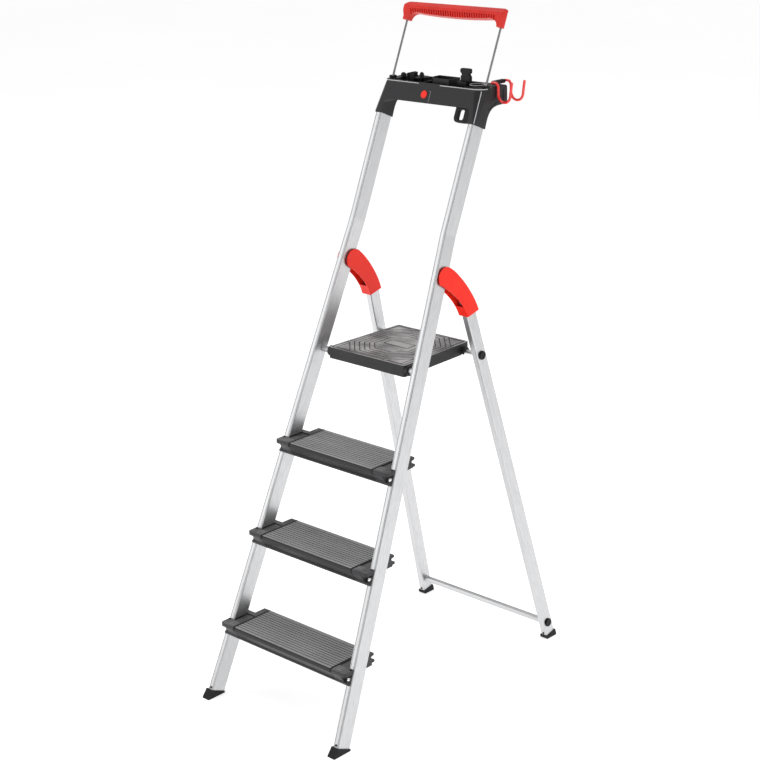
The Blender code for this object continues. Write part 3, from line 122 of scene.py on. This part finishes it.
# ---------------------------------------------------------------- material helpers
class Shader:
    """A Principled material with short calls for its procedural parts."""

    def __init__(self, name, roughness, metallic=0.0, specular=0.5, coat=0.0):
        self.material = bpy.data.materials.new(name)
        self.material.use_nodes = True
        self.tree = self.material.node_tree
        self.main = self.tree.nodes["Principled BSDF"]
        self.main.inputs["Roughness"].default_value = roughness
        self.main.inputs["Metallic"].default_value = metallic
        self.main.inputs["Specular IOR Level"].default_value = specular
        self.main.inputs["Coat Weight"].default_value = coat
        self.main.inputs["Coat Roughness"].default_value = 0.12
        self.place = self.tree.nodes.new("ShaderNodeTexCoord").outputs["Object"]
        self.bumps = None

    def link(self, output, node, name):
        self.tree.links.new(output, node.inputs[name])

    def mapped(self, scale, turn=(0.0, 0.0, 0.0)):
        """Object coordinates, turned so that Z runs along the piece, then scaled."""
        rotate = self.tree.nodes.new("ShaderNodeMapping")
        rotate.vector_type = "POINT"
        rotate.inputs["Rotation"].default_value = turn
        self.link(self.place, rotate, "Vector")
        stretch = self.tree.nodes.new("ShaderNodeMapping")
        stretch.inputs["Scale"].default_value = scale
        self.link(rotate.outputs["Vector"], stretch, "Vector")
        return stretch.outputs["Vector"]

    def noise(self, scale, detail=3.0, vector=None, roughness=0.55):
        node = self.tree.nodes.new("ShaderNodeTexNoise")
        node.inputs["Scale"].default_value = scale
        node.inputs["Detail"].default_value = detail
        node.inputs["Roughness"].default_value = roughness
        self.link(vector or self.place, node, "Vector")
        return node.outputs["Fac"]

    def cells(self, scale):
        node = self.tree.nodes.new("ShaderNodeTexVoronoi")
        node.inputs["Scale"].default_value = scale
        self.link(self.place, node, "Vector")
        return node.outputs["Distance"]

    def spread(self, value, low, high, to_low=0.0, to_high=1.0):
        """Stretch a value's range, clamped."""
        node = self.tree.nodes.new("ShaderNodeMapRange")
        node.inputs["From Min"].default_value = low
        node.inputs["From Max"].default_value = high
        node.inputs["To Min"].default_value = to_low
        node.inputs["To Max"].default_value = to_high
        self.link(value, node, "Value")
        return node.outputs["Result"]

    def math(self, operation, first, second):
        node = self.tree.nodes.new("ShaderNodeMath")
        node.operation = operation
        for socket, value in zip(node.inputs, (first, second)):
            if isinstance(value, float):
                socket.default_value = value
            else:
                self.tree.links.new(value, socket)
        return node.outputs["Value"]

    def facing_up(self, low, high):
        """Mask of the faces that look up in the rest pose."""
        normal = self.tree.nodes.new("ShaderNodeTexCoord").outputs["Normal"]
        split = self.tree.nodes.new("ShaderNodeSeparateXYZ")
        self.link(normal, split, "Vector")
        return self.spread(split.outputs["Z"], low, high)

    def below(self, top, depth, pitch=10.0):
        """Mask of what lies just below a level, or below levels that repeat at a pitch."""
        split = self.tree.nodes.new("ShaderNodeSeparateXYZ")
        self.link(self.place, split, "Vector")
        drop = self.math("SUBTRACT", pitch / 2.0 + top, split.outputs["Z"])
        drop = self.math("SUBTRACT", self.math("FLOORED_MODULO", drop, pitch), pitch / 2.0)
        return self.spread(drop, depth * 0.3, depth * 0.6)

    def ramp(self, value, dark, light, low=0.3, high=0.7):
        node = self.tree.nodes.new("ShaderNodeValToRGB")
        first, last = node.color_ramp.elements
        first.position = low
        first.color = (*dark, 1.0)
        last.position = high
        last.color = (*light, 1.0)
        self.link(value, node, "Fac")
        return node.outputs["Color"]

    def blend(self, amount, first, second):
        node = self.tree.nodes.new("ShaderNodeMix")
        node.data_type = "RGBA"
        self.tree.links.new(amount, node.inputs["Factor"])
        sockets = [s for s in node.inputs if s.type == "RGBA"]
        for socket, value in zip(sockets, (first, second)):
            if isinstance(value, tuple):
                socket.default_value = (*value, 1.0)
            else:
                self.tree.links.new(value, socket)
        return [s for s in node.outputs if s.type == "RGBA"][0]

    def colour(self, output):
        self.link(output, self.main, "Base Color")

    def roughness(self, output):
        self.link(output, self.main, "Roughness")

    def bump(self, height, distance, strength=1.0):
        """Add a bump. Later bumps lie on top of earlier ones."""
        node = self.tree.nodes.new("ShaderNodeBump")
        node.inputs["Strength"].default_value = strength
        node.inputs["Distance"].default_value = distance
        self.link(height, node, "Height")
        if self.bumps is not None:
            self.link(self.bumps, node, "Normal")
        self.bumps = node.outputs["Normal"]
        self.link(self.bumps, self.main, "Normal")


# ---------------------------------------------------------------- materials
def aluminium(name, turn):
    """Anodised extrusion: fine die lines along it, faint clouding and a few handling marks."""
    shader = Shader(name, 0.36, metallic=1.0)
    lines = shader.noise(1.0, 4.0, shader.mapped((1400.0, 1400.0, 3.0), turn))
    wide_lines = shader.noise(1.0, 2.0, shader.mapped((320.0, 320.0, 0.8), turn))
    clouds = shader.noise(9.0, 4.0)
    marks = shader.spread(shader.noise(1.0, 5.0, shader.mapped((90.0, 90.0, 260.0), turn), 0.7), 0.68, 0.74)
    base = shader.ramp(wide_lines, (0.545, 0.548, 0.556), (0.625, 0.628, 0.635), 0.35, 0.65)
    base = shader.blend(shader.spread(clouds, 0.35, 0.75, 0.0, 0.35), base, (0.67, 0.67, 0.68))
    shader.colour(shader.blend(marks, base, (0.52, 0.52, 0.53)))
    rough = shader.spread(clouds, 0.3, 0.7, 0.30, 0.40)
    rough = shader.math("ADD", rough, shader.spread(lines, 0.3, 0.7, -0.04, 0.06))
    shader.roughness(shader.math("ADD", rough, shader.math("MULTIPLY", marks, 0.15)))
    shader.bump(lines, 0.00005, 0.5)
    shader.bump(clouds, 0.0004, 0.15)
    return shader.material


def steel(name, turn, colour, rough):
    """Bright plated steel with fine drawn lines and dull patches."""
    shader = Shader(name, rough, metallic=1.0)
    lines = shader.noise(1.0, 3.0, shader.mapped((2200.0, 2200.0, 5.0), turn))
    patches = shader.noise(60.0, 4.0)
    dull = tuple(c * 0.86 for c in colour)
    shader.colour(shader.ramp(patches, dull, colour, 0.3, 0.6))
    shader.roughness(shader.spread(lines, 0.25, 0.75, rough - 0.05, rough + 0.08))
    shader.bump(lines, 0.00003, 0.5)
    return shader.material


def moulded(name, dark, light, rough, grain, specular=0.5, dust_and_top_light=0.0):
    """Moulded plastic: leathery fine grain, slow colour variation, hairline scratches, and paler upward faces
    that are dust and painted top light.
    """
    shader = Shader(name, rough, specular=specular)
    slow = shader.noise(14.0, 5.0)
    fine = shader.noise(900.0, 2.0)
    base = shader.ramp(slow, dark, light, 0.32, 0.68)
    speckle = shader.spread(fine, 0.45, 0.75, 0.0, 0.25)
    base = shader.blend(speckle, base, tuple(min(1.0, c * 1.6) for c in light))
    scratches = shader.noise(1.0, 2.0, shader.mapped((35.0, 900.0, 35.0), (0.2, 0.1, 0.7)), 0.4)
    scratched = shader.spread(scratches, 0.70, 0.76, 0.0, 0.6)
    base = shader.blend(scratched, base, tuple(min(1.0, c * 1.9 + 0.01) for c in light))
    # Paler upward faces: dust on the shoes, painted light on the brackets.
    if dust_and_top_light:
        patches = shader.spread(slow, 0.35, 0.75, 0.1, dust_and_top_light)
        dust_and_top_light_mask = shader.math("MULTIPLY", shader.facing_up(0.6, 0.98), patches)
        base = shader.blend(dust_and_top_light_mask, base, (0.42, 0.41, 0.40))
    shader.colour(base)
    shader.roughness(shader.spread(slow, 0.3, 0.7, rough - 0.07, rough + 0.07))
    shader.bump(shader.cells(grain), 0.00012, 0.6)
    shader.bump(fine, 0.00006, 0.5)
    return shader.material


def tread_plastic():
    """Grooved tread: dark moulding, upward faces made pale by painted light, streaks along the ribs that are
    partly wear and partly painted highlight, and painted shade in the grooves.
    """
    shader = Shader("tread_top_plastic", 0.42, specular=0.30)
    slow = shader.noise(7.0, 6.0)
    fine = shader.noise(1100.0, 2.0)
    streaks = shader.noise(1.0, 3.0, shader.mapped((2.0, 90.0, 90.0)), 0.5)
    base = shader.ramp(slow, (0.028, 0.028, 0.030), (0.042, 0.042, 0.044), 0.3, 0.7)
    # Painted light: the upward faces are made pale, as if lit from above.
    painted_top_light = shader.ramp(slow, (0.285, 0.285, 0.290), (0.375, 0.374, 0.374), 0.3, 0.7)
    top = shader.facing_up(0.9, 0.99)
    base = shader.blend(top, base, painted_top_light)
    # Streaks on top: partly wear, partly painted highlights on the ribs.
    scuffs_and_rib_highlights = shader.math("MULTIPLY", top, shader.spread(streaks, 0.40, 0.72, 0.0, 0.45))
    base = shader.blend(scuffs_and_rib_highlights, base, (0.470, 0.468, 0.466))
    base = shader.blend(shader.spread(fine, 0.50, 0.78, 0.0, 0.15), base, (0.20, 0.20, 0.20))
    # Painted shade: the grooves are darkened where shade falls in them.
    groove_shade = shader.below(TREAD_FIRST, TREAD_GROOVE, TREAD_RISE)
    shader.colour(shader.blend(groove_shade, base, (0.016, 0.016, 0.017)))
    shader.roughness(shader.spread(streaks, 0.3, 0.7, 0.34, 0.50))
    shader.bump(shader.cells(1500.0), 0.00012, 0.6)
    shader.bump(streaks, 0.00010, 0.2)
    return shader.material


def deck_plastic():
    """Platform deck: upward faces made paler by painted light, in patches of painted reflection, dark at the
    sides, and painted shade in the grooves.
    """
    shader = Shader("deck_plastic", 0.46, specular=0.35)
    slow = shader.noise(10.0, 6.0)
    reflection_patches = shader.noise(16.0, 4.0, None, 0.55)
    fine = shader.noise(1000.0, 2.0)
    side = shader.ramp(slow, (0.020, 0.020, 0.021), (0.030, 0.030, 0.031))
    # Painted light and painted reflections: the top is made pale in patches.
    painted_top_light_and_reflections = shader.ramp(reflection_patches, (0.180, 0.180, 0.182), (0.500, 0.500, 0.504), 0.38, 0.66)
    base = shader.blend(shader.facing_up(0.90, 0.99), side, painted_top_light_and_reflections)
    base = shader.blend(shader.spread(fine, 0.50, 0.80, 0.0, 0.12), base, (0.30, 0.30, 0.30))
    # Painted shade in the grooves.
    groove_shade = shader.below(DECK_TOP, DECK_GROOVE)
    shader.colour(shader.blend(groove_shade, base, (0.018, 0.018, 0.019)))
    shader.roughness(shader.spread(reflection_patches, 0.3, 0.7, 0.38, 0.56))
    shader.bump(shader.cells(1300.0), 0.00014, 0.6)
    shader.bump(reflection_patches, 0.0002, 0.2)
    return shader.material


def red_plastic(name, dark, light):
    """Glossy red moulding with slight orange peel, flow marks and fine scratches."""
    shader = Shader(name, 0.34, specular=0.22, coat=0.06)
    flow = shader.noise(16.0, 3.0)
    peel = shader.noise(420.0, 2.0)
    scratches = shader.noise(1.0, 3.0, shader.mapped((40.0, 700.0, 40.0), (0.6, 0.2, 0.4)), 0.5)
    base = shader.ramp(flow, dark, light, 0.3, 0.7)
    shader.colour(shader.blend(shader.spread(scratches, 0.70, 0.78, 0.0, 0.25), base, (0.95, 0.16, 0.12)))
    shader.roughness(shader.spread(flow, 0.3, 0.7, 0.28, 0.42))
    shader.bump(peel, 0.00008, 0.4)
    return shader.material


def dipped_red():
    """Thick glossy coating on the hook wire, with sags and small pits."""
    shader = Shader("dipped_red", 0.25, specular=0.6, coat=0.5)
    sags = shader.noise(90.0, 3.0)
    pits = shader.spread(shader.cells(600.0), 0.0, 0.25)
    shader.colour(shader.ramp(sags, (0.80, 0.010, 0.008), (0.92, 0.018, 0.012), 0.3, 0.7))
    shader.roughness(shader.spread(sags, 0.3, 0.7, 0.20, 0.34))
    shader.bump(sags, 0.0001, 0.15)
    shader.bump(pits, 0.00002, 0.15)
    return shader.material


def floor_surface():
    """Matte pale studio floor with barely visible unevenness."""
    shader = Shader("studio_floor", 0.75, specular=0.2)
    slow = shader.noise(0.8, 4.0)
    shader.colour(shader.ramp(slow, (0.90, 0.90, 0.90), (0.93, 0.93, 0.93)))
    shader.roughness(shader.spread(slow, 0.3, 0.7, 0.7, 0.8))
    shader.bump(shader.noise(40.0, 3.0), 0.0005, 0.05)
    shader.main.inputs["Emission Color"].default_value = (1.0, 1.0, 1.0, 1.0)
    shader.main.inputs["Emission Strength"].default_value = FLOOR_GLOW
    return shader.material


SPLAY = math.atan(0.0580)
BLACK = moulded("black_moulding", (0.004, 0.004, 0.0045), (0.009, 0.009, 0.010), 0.38, 1500.0, 0.20)
RUBBER = moulded("black_shoe", (0.006, 0.006, 0.006), (0.013, 0.013, 0.014), 0.56, 1000.0, 0.22, 0.10)
TRAY = moulded("tray_moulding", (0.012, 0.012, 0.0135), (0.020, 0.020, 0.022), 0.40, 1200.0, 0.28)
# Painted highlight: pale strips on the tray's edges, where light catches them.
TRAY_HIGHLIGHT = moulded("tray_painted_highlight", (0.42, 0.42, 0.43), (0.58, 0.58, 0.59), 0.30, 1200.0, 0.5)
# The large top amount on the brackets is painted light: their upward faces made pale, as if lit.
BRACKET = moulded("bracket_moulding", (0.026, 0.026, 0.028), (0.042, 0.042, 0.045), 0.40, 1400.0, 0.30, 0.42)
# Painted highlight: pale grey for the bracket ribs; the tray's pull mark uses it too.
PALE_HIGHLIGHT = moulded("pale_painted_highlight", (0.20, 0.20, 0.20), (0.29, 0.29, 0.29), 0.32, 1400.0, 0.4)
PLATE = moulded("deck_plate_moulding", (0.34, 0.34, 0.34), (0.46, 0.46, 0.46), 0.34, 1300.0, 0.4)
TREAD = tread_plastic()
DECK = deck_plastic()
RED = red_plastic("red_moulding", (0.96, 0.018, 0.006), (1.0, 0.030, 0.011))
# Painted shade: a darker copy of the red moulding, for the grip.
GRIP_RED_SHADED = red_plastic("red_grip_painted_shade", (0.56, 0.012, 0.006), (0.72, 0.020, 0.010))
DIPPED = dipped_red()
FLOOR = floor_surface()
LEG_METAL = {
    "stile_left": aluminium("aluminium_stile_left", (FRONT_LEAN, SPLAY, 0.0)),
    "stile_right": aluminium("aluminium_stile_right", (FRONT_LEAN, -SPLAY, 0.0)),
    "rear_leg_left": aluminium("aluminium_leg_left", (-REAR_LEAN, SPLAY, 0.0)),
    "rear_leg_right": aluminium("aluminium_leg_right", (-REAR_LEAN, -SPLAY, 0.0)),
}
ACROSS = (0.0, math.pi / 2.0, 0.0)
CROSS_METAL = aluminium("aluminium_cross_tube", ACROSS)
ROD_STEEL = steel("rod_steel", (FRONT_LEAN, 0.0, 0.0), (0.30, 0.30, 0.31), 0.24)
PLATE_STEEL = steel("plate_steel", ACROSS, (0.74, 0.74, 0.75), 0.34)
STUD_STEEL = steel("stud_steel", ACROSS, (0.95, 0.95, 0.95), 0.22)


def material_for(node):
    """The finish of a CAD node, from its name."""
    prefixes = (
        ("front_foot_plug", BLACK), ("rear_foot_plug", BLACK), ("front_foot", RUBBER), ("rear_foot", RUBBER),
        ("tread_bracket", BRACKET), ("tread", TREAD), ("platform_deck", DECK), ("platform", CROSS_METAL),
        ("rear_strut", CROSS_METAL), ("hinge_cover", RED), ("hinge", PLATE_STEEL),
        ("strut_rivet", PLATE_STEEL), ("handle_rod", ROD_STEEL), ("handle_grip", GRIP_RED_SHADED),
        ("tray_badge", RED), ("bucket_hook", DIPPED),
        ("tray_ring", TRAY), ("tray_peg", BLACK), ("tray_cap", BLACK), ("tray_clip", BLACK), ("tray", TRAY),
        ("bit_box", TRAY))
    if node in LEG_METAL:
        return LEG_METAL[node]
    for prefix, material in prefixes:
        if node.startswith(prefix):
            return material
    return BLACK


# ---------------------------------------------------------------- shapes
def finish_mesh(bm, matrix, smooth):
    bmesh.ops.transform(bm, matrix=matrix, verts=bm.verts)
    bmesh.ops.recalc_face_normals(bm, faces=bm.faces)
    mesh = bpy.data.meshes.new("detail")
    bm.to_mesh(mesh)
    bm.free()
    if smooth:
        mesh.shade_smooth()
        mesh.set_sharp_from_angle(angle=math.radians(40.0))
    return mesh


def turned(profile, matrix, steps=32):
    """Turned solid about local Z. The profile lists (radius, height), from the base to the top."""
    bm = bmesh.new()
    verts = [bm.verts.new((radius, 0.0, height)) for radius, height in profile]
    edges = [bm.edges.new(pair) for pair in zip(verts, verts[1:])]
    bmesh.ops.spin(
        bm, geom=verts + edges, cent=(0, 0, 0), axis=(0, 0, 1), angle=math.tau, steps=steps,
        use_merge=True)
    bmesh.ops.remove_doubles(bm, verts=bm.verts, dist=0.00001)
    return finish_mesh(bm, matrix, True)


def prism(outline, low, high, matrix, bevel):
    """Outline in local XY, extruded along local Z, with its edges rounded."""
    bm = bmesh.new()
    face = bm.faces.new([bm.verts.new((u, v, low)) for u, v in outline])
    grown = bmesh.ops.extrude_face_region(bm, geom=[face])
    verts = [item for item in grown["geom"] if isinstance(item, bmesh.types.BMVert)]
    bmesh.ops.translate(bm, vec=(0.0, 0.0, high - low), verts=verts)
    edges = [e for e in bm.edges if e.calc_face_angle(0.0) > math.radians(20.0)]
    bmesh.ops.bevel(
        bm, geom=edges, offset=bevel, segments=3, profile=0.5, affect="EDGES", clamp_overlap=True)
    return finish_mesh(bm, matrix, True)


def bar(low, high, matrix, bevel):
    """Box with rounded edges."""
    x0, x1 = sorted((low[0], high[0]))
    outline = [(x0, low[1]), (x1, low[1]), (x1, high[1]), (x0, high[1])]
    return prism(outline, low[2], high[2], matrix, bevel)


def wire(points, radius):
    """Round wire through points, with closed ends."""
    rings = []
    bm = bmesh.new()
    for i, point in enumerate(points):
        along = (points[min(i + 1, len(points) - 1)] - points[max(i - 1, 0)]).normalized()
        turn = along.to_track_quat("Z", "Y").to_matrix()
        ring = []
        for step in range(WIRE_SIDES):
            angle = math.tau * step / WIRE_SIDES
            ring.append(bm.verts.new(point + turn @ Vector((math.cos(angle), math.sin(angle), 0.0)) * radius))
        rings.append(ring)
    for first, last in zip(rings, rings[1:]):
        for i in range(WIRE_SIDES):
            j = (i + 1) % WIRE_SIDES
            bm.faces.new((first[i], first[j], last[j], last[i]))
    bm.faces.new(rings[0][::-1])
    bm.faces.new(rings[-1])
    return finish_mesh(bm, Matrix.Identity(4), True)


def strip(path, thick):
    """Closed outline of a band that follows a path in a plane."""
    left, right = [], []
    for i, point in enumerate(path):
        here = Vector(point)
        before = Vector(path[max(i - 1, 0)])
        after = Vector(path[min(i + 1, len(path) - 1)])
        along = (after - before).normalized()
        normal = Vector((-along.y, along.x))
        left.append(tuple(here + normal * thick / 2.0))
        right.append(tuple(here - normal * thick / 2.0))
    return left + right[::-1]


def piece(name, mesh, material, body="root"):
    obj = bpy.data.objects.new(name, mesh)
    mesh.name = name
    mesh.materials.append(material)
    bpy.context.scene.collection.objects.link(obj)
    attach(obj, body)


def on_front(x, depth, along):
    """Frame on the leaning front: local Z points out of the front face, local Y up the stile."""
    return FRONT @ Matrix.Translation((x, depth, along)) @ FACE_OUT


# ---------------------------------------------------------------- treads
def tread_details(name):
    low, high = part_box(f"tread_{name}")
    top = high.z
    start = low.y - TREAD_NOSE
    for side_name, side in SIDES:
        label = f"{name}_{side_name}"
        low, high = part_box(f"tread_bracket_{label}")
        outer = (high.x if side > 0 else -low.x) + BRACKET_INSET
        stud(label, side, outer, top)
        seam_shade_strip(label, side, outer, top, start)
        bracket_ribs(label, side, outer, top, start)
        notch_shade_and_stop(label, side, outer, top, start)


def stud(label, side, outer, top):
    """Bright round rivet head on the bracket's front plate."""
    along = (top - STUD_DROP - BRACKET_PLATE * math.sin(FRONT_LEAN)) / math.cos(FRONT_LEAN)
    matrix = on_front(side * (outer - STUD_INSET), -BRACKET_PLATE, along)
    piece(f"tread_stud_{label}", turned(STUD_PROFILE, matrix), STUD_STEEL)


def seam_shade_strip(label, side, outer, top, start):
    """Painted shade: a black strip in the joint between tread and bracket, over the nose and along the top,
    where the gap lies in shadow.
    """
    nose = start + TREAD_NOSE
    path = [(start + SHADE_STRIP_TAIL, top), (nose + SHADE_STRIP_ROUND, top)]
    for step in range(1, 6):
        angle = math.radians(90.0 + 18.0 * step)
        y = nose + SHADE_STRIP_ROUND + SHADE_STRIP_ROUND * math.cos(angle)
        path.append((y, top - SHADE_STRIP_ROUND + SHADE_STRIP_ROUND * math.sin(angle)))
    path.append((nose, top - SHADE_STRIP_DROP))
    middle = side * (outer - BRACKET_LENGTH - SHADE_STRIP_FROM_BRACKET)
    mesh = prism(strip(path, SHADE_STRIP_THICK), middle - SHADE_STRIP_HALF, middle + SHADE_STRIP_HALF, ALONG_X, 0.0002)
    piece(f"tread_seam_shade_{label}", mesh, BLACK)


def bracket_ribs(label, side, outer, top, start):
    """Low raised ribs on the bracket's front flange and on its ear, coloured pale as painted highlights."""
    for kind, (inner, end, places, width) in (("flange", FLANGE_RIBS), ("ear", EAR_RIBS)):
        for number, place in enumerate(places):
            low = (side * (outer - inner), start + place, top - RIB_SUNK)
            high = (side * (outer - end), start + place + width, top + RIB_RISE)
            mesh = bar(low, high, LEVEL, 0.0005)
            piece(f"tread_{kind}_rib_{number}_{label}", mesh, PALE_HIGHLIGHT)


def notch_shade_and_stop(label, side, outer, top, start):
    """Painted shade: a black strip on the wall beside the stile, where the gap lies in shadow; and a small
    stop in front of the stile.
    """
    low = (side * (outer - NOTCH_SHADE_X[0]), start + NOTCH_SHADE_Y[0], top - 0.0004)
    high = (side * (outer - NOTCH_SHADE_X[1]), start + NOTCH_SHADE_Y[1], top + 0.0010)
    piece(f"tread_notch_shade_{label}", bar(low, high, LEVEL, 0.0004), BLACK)
    matrix = Matrix.Translation((side * (outer - STOP_INSET), start - STOP_AHEAD, top - 0.0003))
    piece(f"tread_stop_{label}", turned(STOP_PROFILE, matrix, 20), BLACK)


# ---------------------------------------------------------------- tray
def tray_details():
    """Stile rivets, painted highlights along the tray's corners and rims, and the small pull mark of the
    tray.
    """
    stile_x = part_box("stile_right")[0].x + STILE_HALF
    for side_name, side in SIDES:
        matrix = on_front(side * stile_x, 0.0, SOCKET_END - RIVET_BELOW_SOCKET)
        piece(f"stile_rivet_{side_name}", turned(RIVET_PROFILE, matrix, 20), PLATE_STEEL)
        # Painted highlight along the rounded front corner.
        corner_highlight = wire([tray_corner(side, along, 0.5) for along in CORNER_HIGHLIGHT_ENDS], HIGHLIGHT_WIRE)
        piece(f"tray_corner_highlight_{side_name}", corner_highlight, TRAY_HIGHLIGHT)
    outline = strip(PULL_PATH, PULL_THICK)
    mesh = prism(outline, -0.0003, 0.0009, on_front(0.0, TRAY_FACE, 0.0), 0.0003)
    # The pull mark uses the same pale grey as the painted rib highlights.
    piece("tray_pull", mesh, PALE_HIGHLIGHT)
    tray_rim_highlight()
    ring_highlight()


def tray_corner(side, along, turn):
    """Point on the tray's rounded front corner. Turn goes from 0 at the front face to 1 at the side."""
    radius = CORNER_RADIUS + CORNER_GROWTH * (along - CORNER_BOTTOM)
    angle = turn * math.pi / 2.0
    x = side * (TRAY_HALF - radius + radius * math.sin(angle))
    return FRONT @ Vector((x, TRAY_FACE + radius * (1.0 - math.cos(angle)), along))


def tray_rim_highlight():
    """Painted highlight: a pale rounded strip on the tray's front edge, on each side of the lip, and round
    the corners.
    """
    along = (TRAY_TOP + TRAY_FACE * math.sin(FRONT_LEAN)) / math.cos(FRONT_LEAN)
    for (side_name, side), lip_end in zip(SIDES, LIP):
        points = [tray_corner(side, along, turn / 8.0) for turn in range(8)]
        for point in points:
            point.z = TRAY_TOP
        start = points[0].copy()
        start.x = lip_end
        piece(f"tray_front_rim_highlight_{side_name}", wire([start, *points], HIGHLIGHT_WIRE), TRAY_HIGHLIGHT)


def ring_highlight():
    """Painted highlight: a pale bead on the top of the tray's ring."""
    low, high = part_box("tray_ring")
    middle = (low + high) / 2.0
    radius = (high.x - low.x) / 2.0 - HIGHLIGHT_WIRE
    points = []
    for step in range(RING_STEPS + 1):
        angle = math.tau * step / RING_STEPS
        x = middle.x + radius * math.cos(angle)
        y = middle.y + radius * math.sin(angle)
        points.append(Vector((x, y, high.z)))
    piece("tray_ring_highlight", wire(points, HIGHLIGHT_WIRE * 0.7), TRAY_HIGHLIGHT)


# ---------------------------------------------------------------- platform
def platform_plate():
    """Blank plate with cut corners in the middle of the deck."""
    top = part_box("platform_deck")[1].z
    middle = JOINTS["platform_fold"]["pos_m"][1] + PLATE_FROM_AXLE
    x, y, corner = PLATE_SHAPE
    outline = [
        (x - corner, -y), (x, -y + corner), (x, y - corner), (x - corner, y),
        (-x + corner, y), (-x, y - corner), (-x, -y + corner), (-x + corner, -y)]
    matrix = Matrix.Translation((0.0, middle, top))
    piece("platform_plate", prism(outline, -0.0004, 0.0008, matrix, 0.0003), PLATE, "platform")


# ---------------------------------------------------------------- CAD nodes
def soften(obj, width):
    """Round a node's sharp edges a little, so that they catch the light."""
    weld = obj.modifiers.new("weld", "WELD")
    weld.merge_threshold = 0.00001
    flat = obj.modifiers.new("flat", "DECIMATE")
    flat.decimate_type = "DISSOLVE"
    flat.angle_limit = math.radians(0.3)
    round_edges = obj.modifiers.new("round", "BEVEL")
    round_edges.width = width
    round_edges.segments = 2
    round_edges.limit_method = "ANGLE"
    round_edges.angle_limit = math.radians(35.0)
    normals = obj.modifiers.new("normals", "WEIGHTED_NORMAL")
    normals.weight = 80


def dress_nodes():
    rounded = (
        ("tread_bracket", 0.0006), ("hinge_cover", 0.0007), ("handle_grip", 0.0008), ("clamp", 0.0007),
        ("front_foot_left", 0.0010), ("front_foot_right", 0.0010), ("rear_foot_left", 0.0008),
        ("rear_foot_right", 0.0008), ("platform_deck", 0.0007), ("tray_clip", 0.0008), ("bit_box", 0.0005),
        ("cable_loop", 0.0010), ("hinge_arm", 0.0002))
    for name, obj in NODES.items():
        obj.data.materials.clear()
        obj.data.materials.append(material_for(name))
        for prefix, width in rounded:
            if name.startswith(prefix):
                soften(obj, width)
    soften(NODES["tray"], 0.0007)


# ---------------------------------------------------------------- floor, light, camera
def add_floor():
    bm = bmesh.new()
    bmesh.ops.create_grid(bm, x_segments=8, y_segments=8, size=40.0)
    mesh = finish_mesh(bm, Matrix.Identity(4), False)
    mesh.materials.append(FLOOR)
    floor = bpy.data.objects.new("studio_floor", mesh)
    bpy.context.scene.collection.objects.link(floor)


def add_light(name, place, size, power, aim=(0.0, 0.0, 0.8)):
    light = bpy.data.lights.new(name, "AREA")
    light.shape = "RECTANGLE"
    light.size, light.size_y = size
    light.energy = power
    obj = bpy.data.objects.new(name, light)
    obj.location = place
    obj.rotation_euler = (Vector(place) - Vector(aim)).to_track_quat("Z", "Y").to_euler()
    bpy.context.scene.collection.objects.link(obj)


def add_world():
    world = bpy.data.worlds.new("studio")
    world.use_nodes = True
    background = world.node_tree.nodes["Background"]
    background.inputs["Color"].default_value = (1.0, 1.0, 1.0, 1.0)
    seen = world.node_tree.nodes.new("ShaderNodeLightPath").outputs["Is Camera Ray"]
    strength = world.node_tree.nodes.new("ShaderNodeMapRange")
    strength.inputs["To Min"].default_value = WORLD_LIGHT
    strength.inputs["To Max"].default_value = 1.0
    world.node_tree.links.new(seen, strength.inputs["Value"])
    world.node_tree.links.new(strength.outputs["Result"], background.inputs["Strength"])
    bpy.context.scene.world = world
    bpy.context.scene.view_settings.view_transform = "Standard"


def add_camera():
    data = bpy.data.cameras.new("camera")
    data.lens = CAMERA_LENS
    data.sensor_width = 36.0
    data.clip_end = 100.0
    camera = bpy.data.objects.new("camera", data)
    turn = Matrix.Rotation(CAMERA_YAW, 4, "Z") @ Matrix.Rotation(math.pi / 2.0 + CAMERA_PITCH, 4, "X")
    camera.matrix_world = Matrix.Translation(CAMERA_PLACE) @ turn @ Matrix.Rotation(CAMERA_ROLL, 4, "Z")
    bpy.context.scene.collection.objects.link(camera)
    bpy.context.scene.camera = camera


# ---------------------------------------------------------------- make it
dress_nodes()
for tread_name in TREADS:
    tread_details(tread_name)
tray_details()
platform_plate()
add_floor()
add_light("key", (-4.5, -5.0, 3.2), (6.0, 5.0), 118.0)
add_light("side", (5.0, 0.5, 2.5), (2.5, 3.0), 38.0)
add_light("top", (0.0, 0.3, 5.0), (5.0, 5.0), 95.0)
add_world()
add_camera()
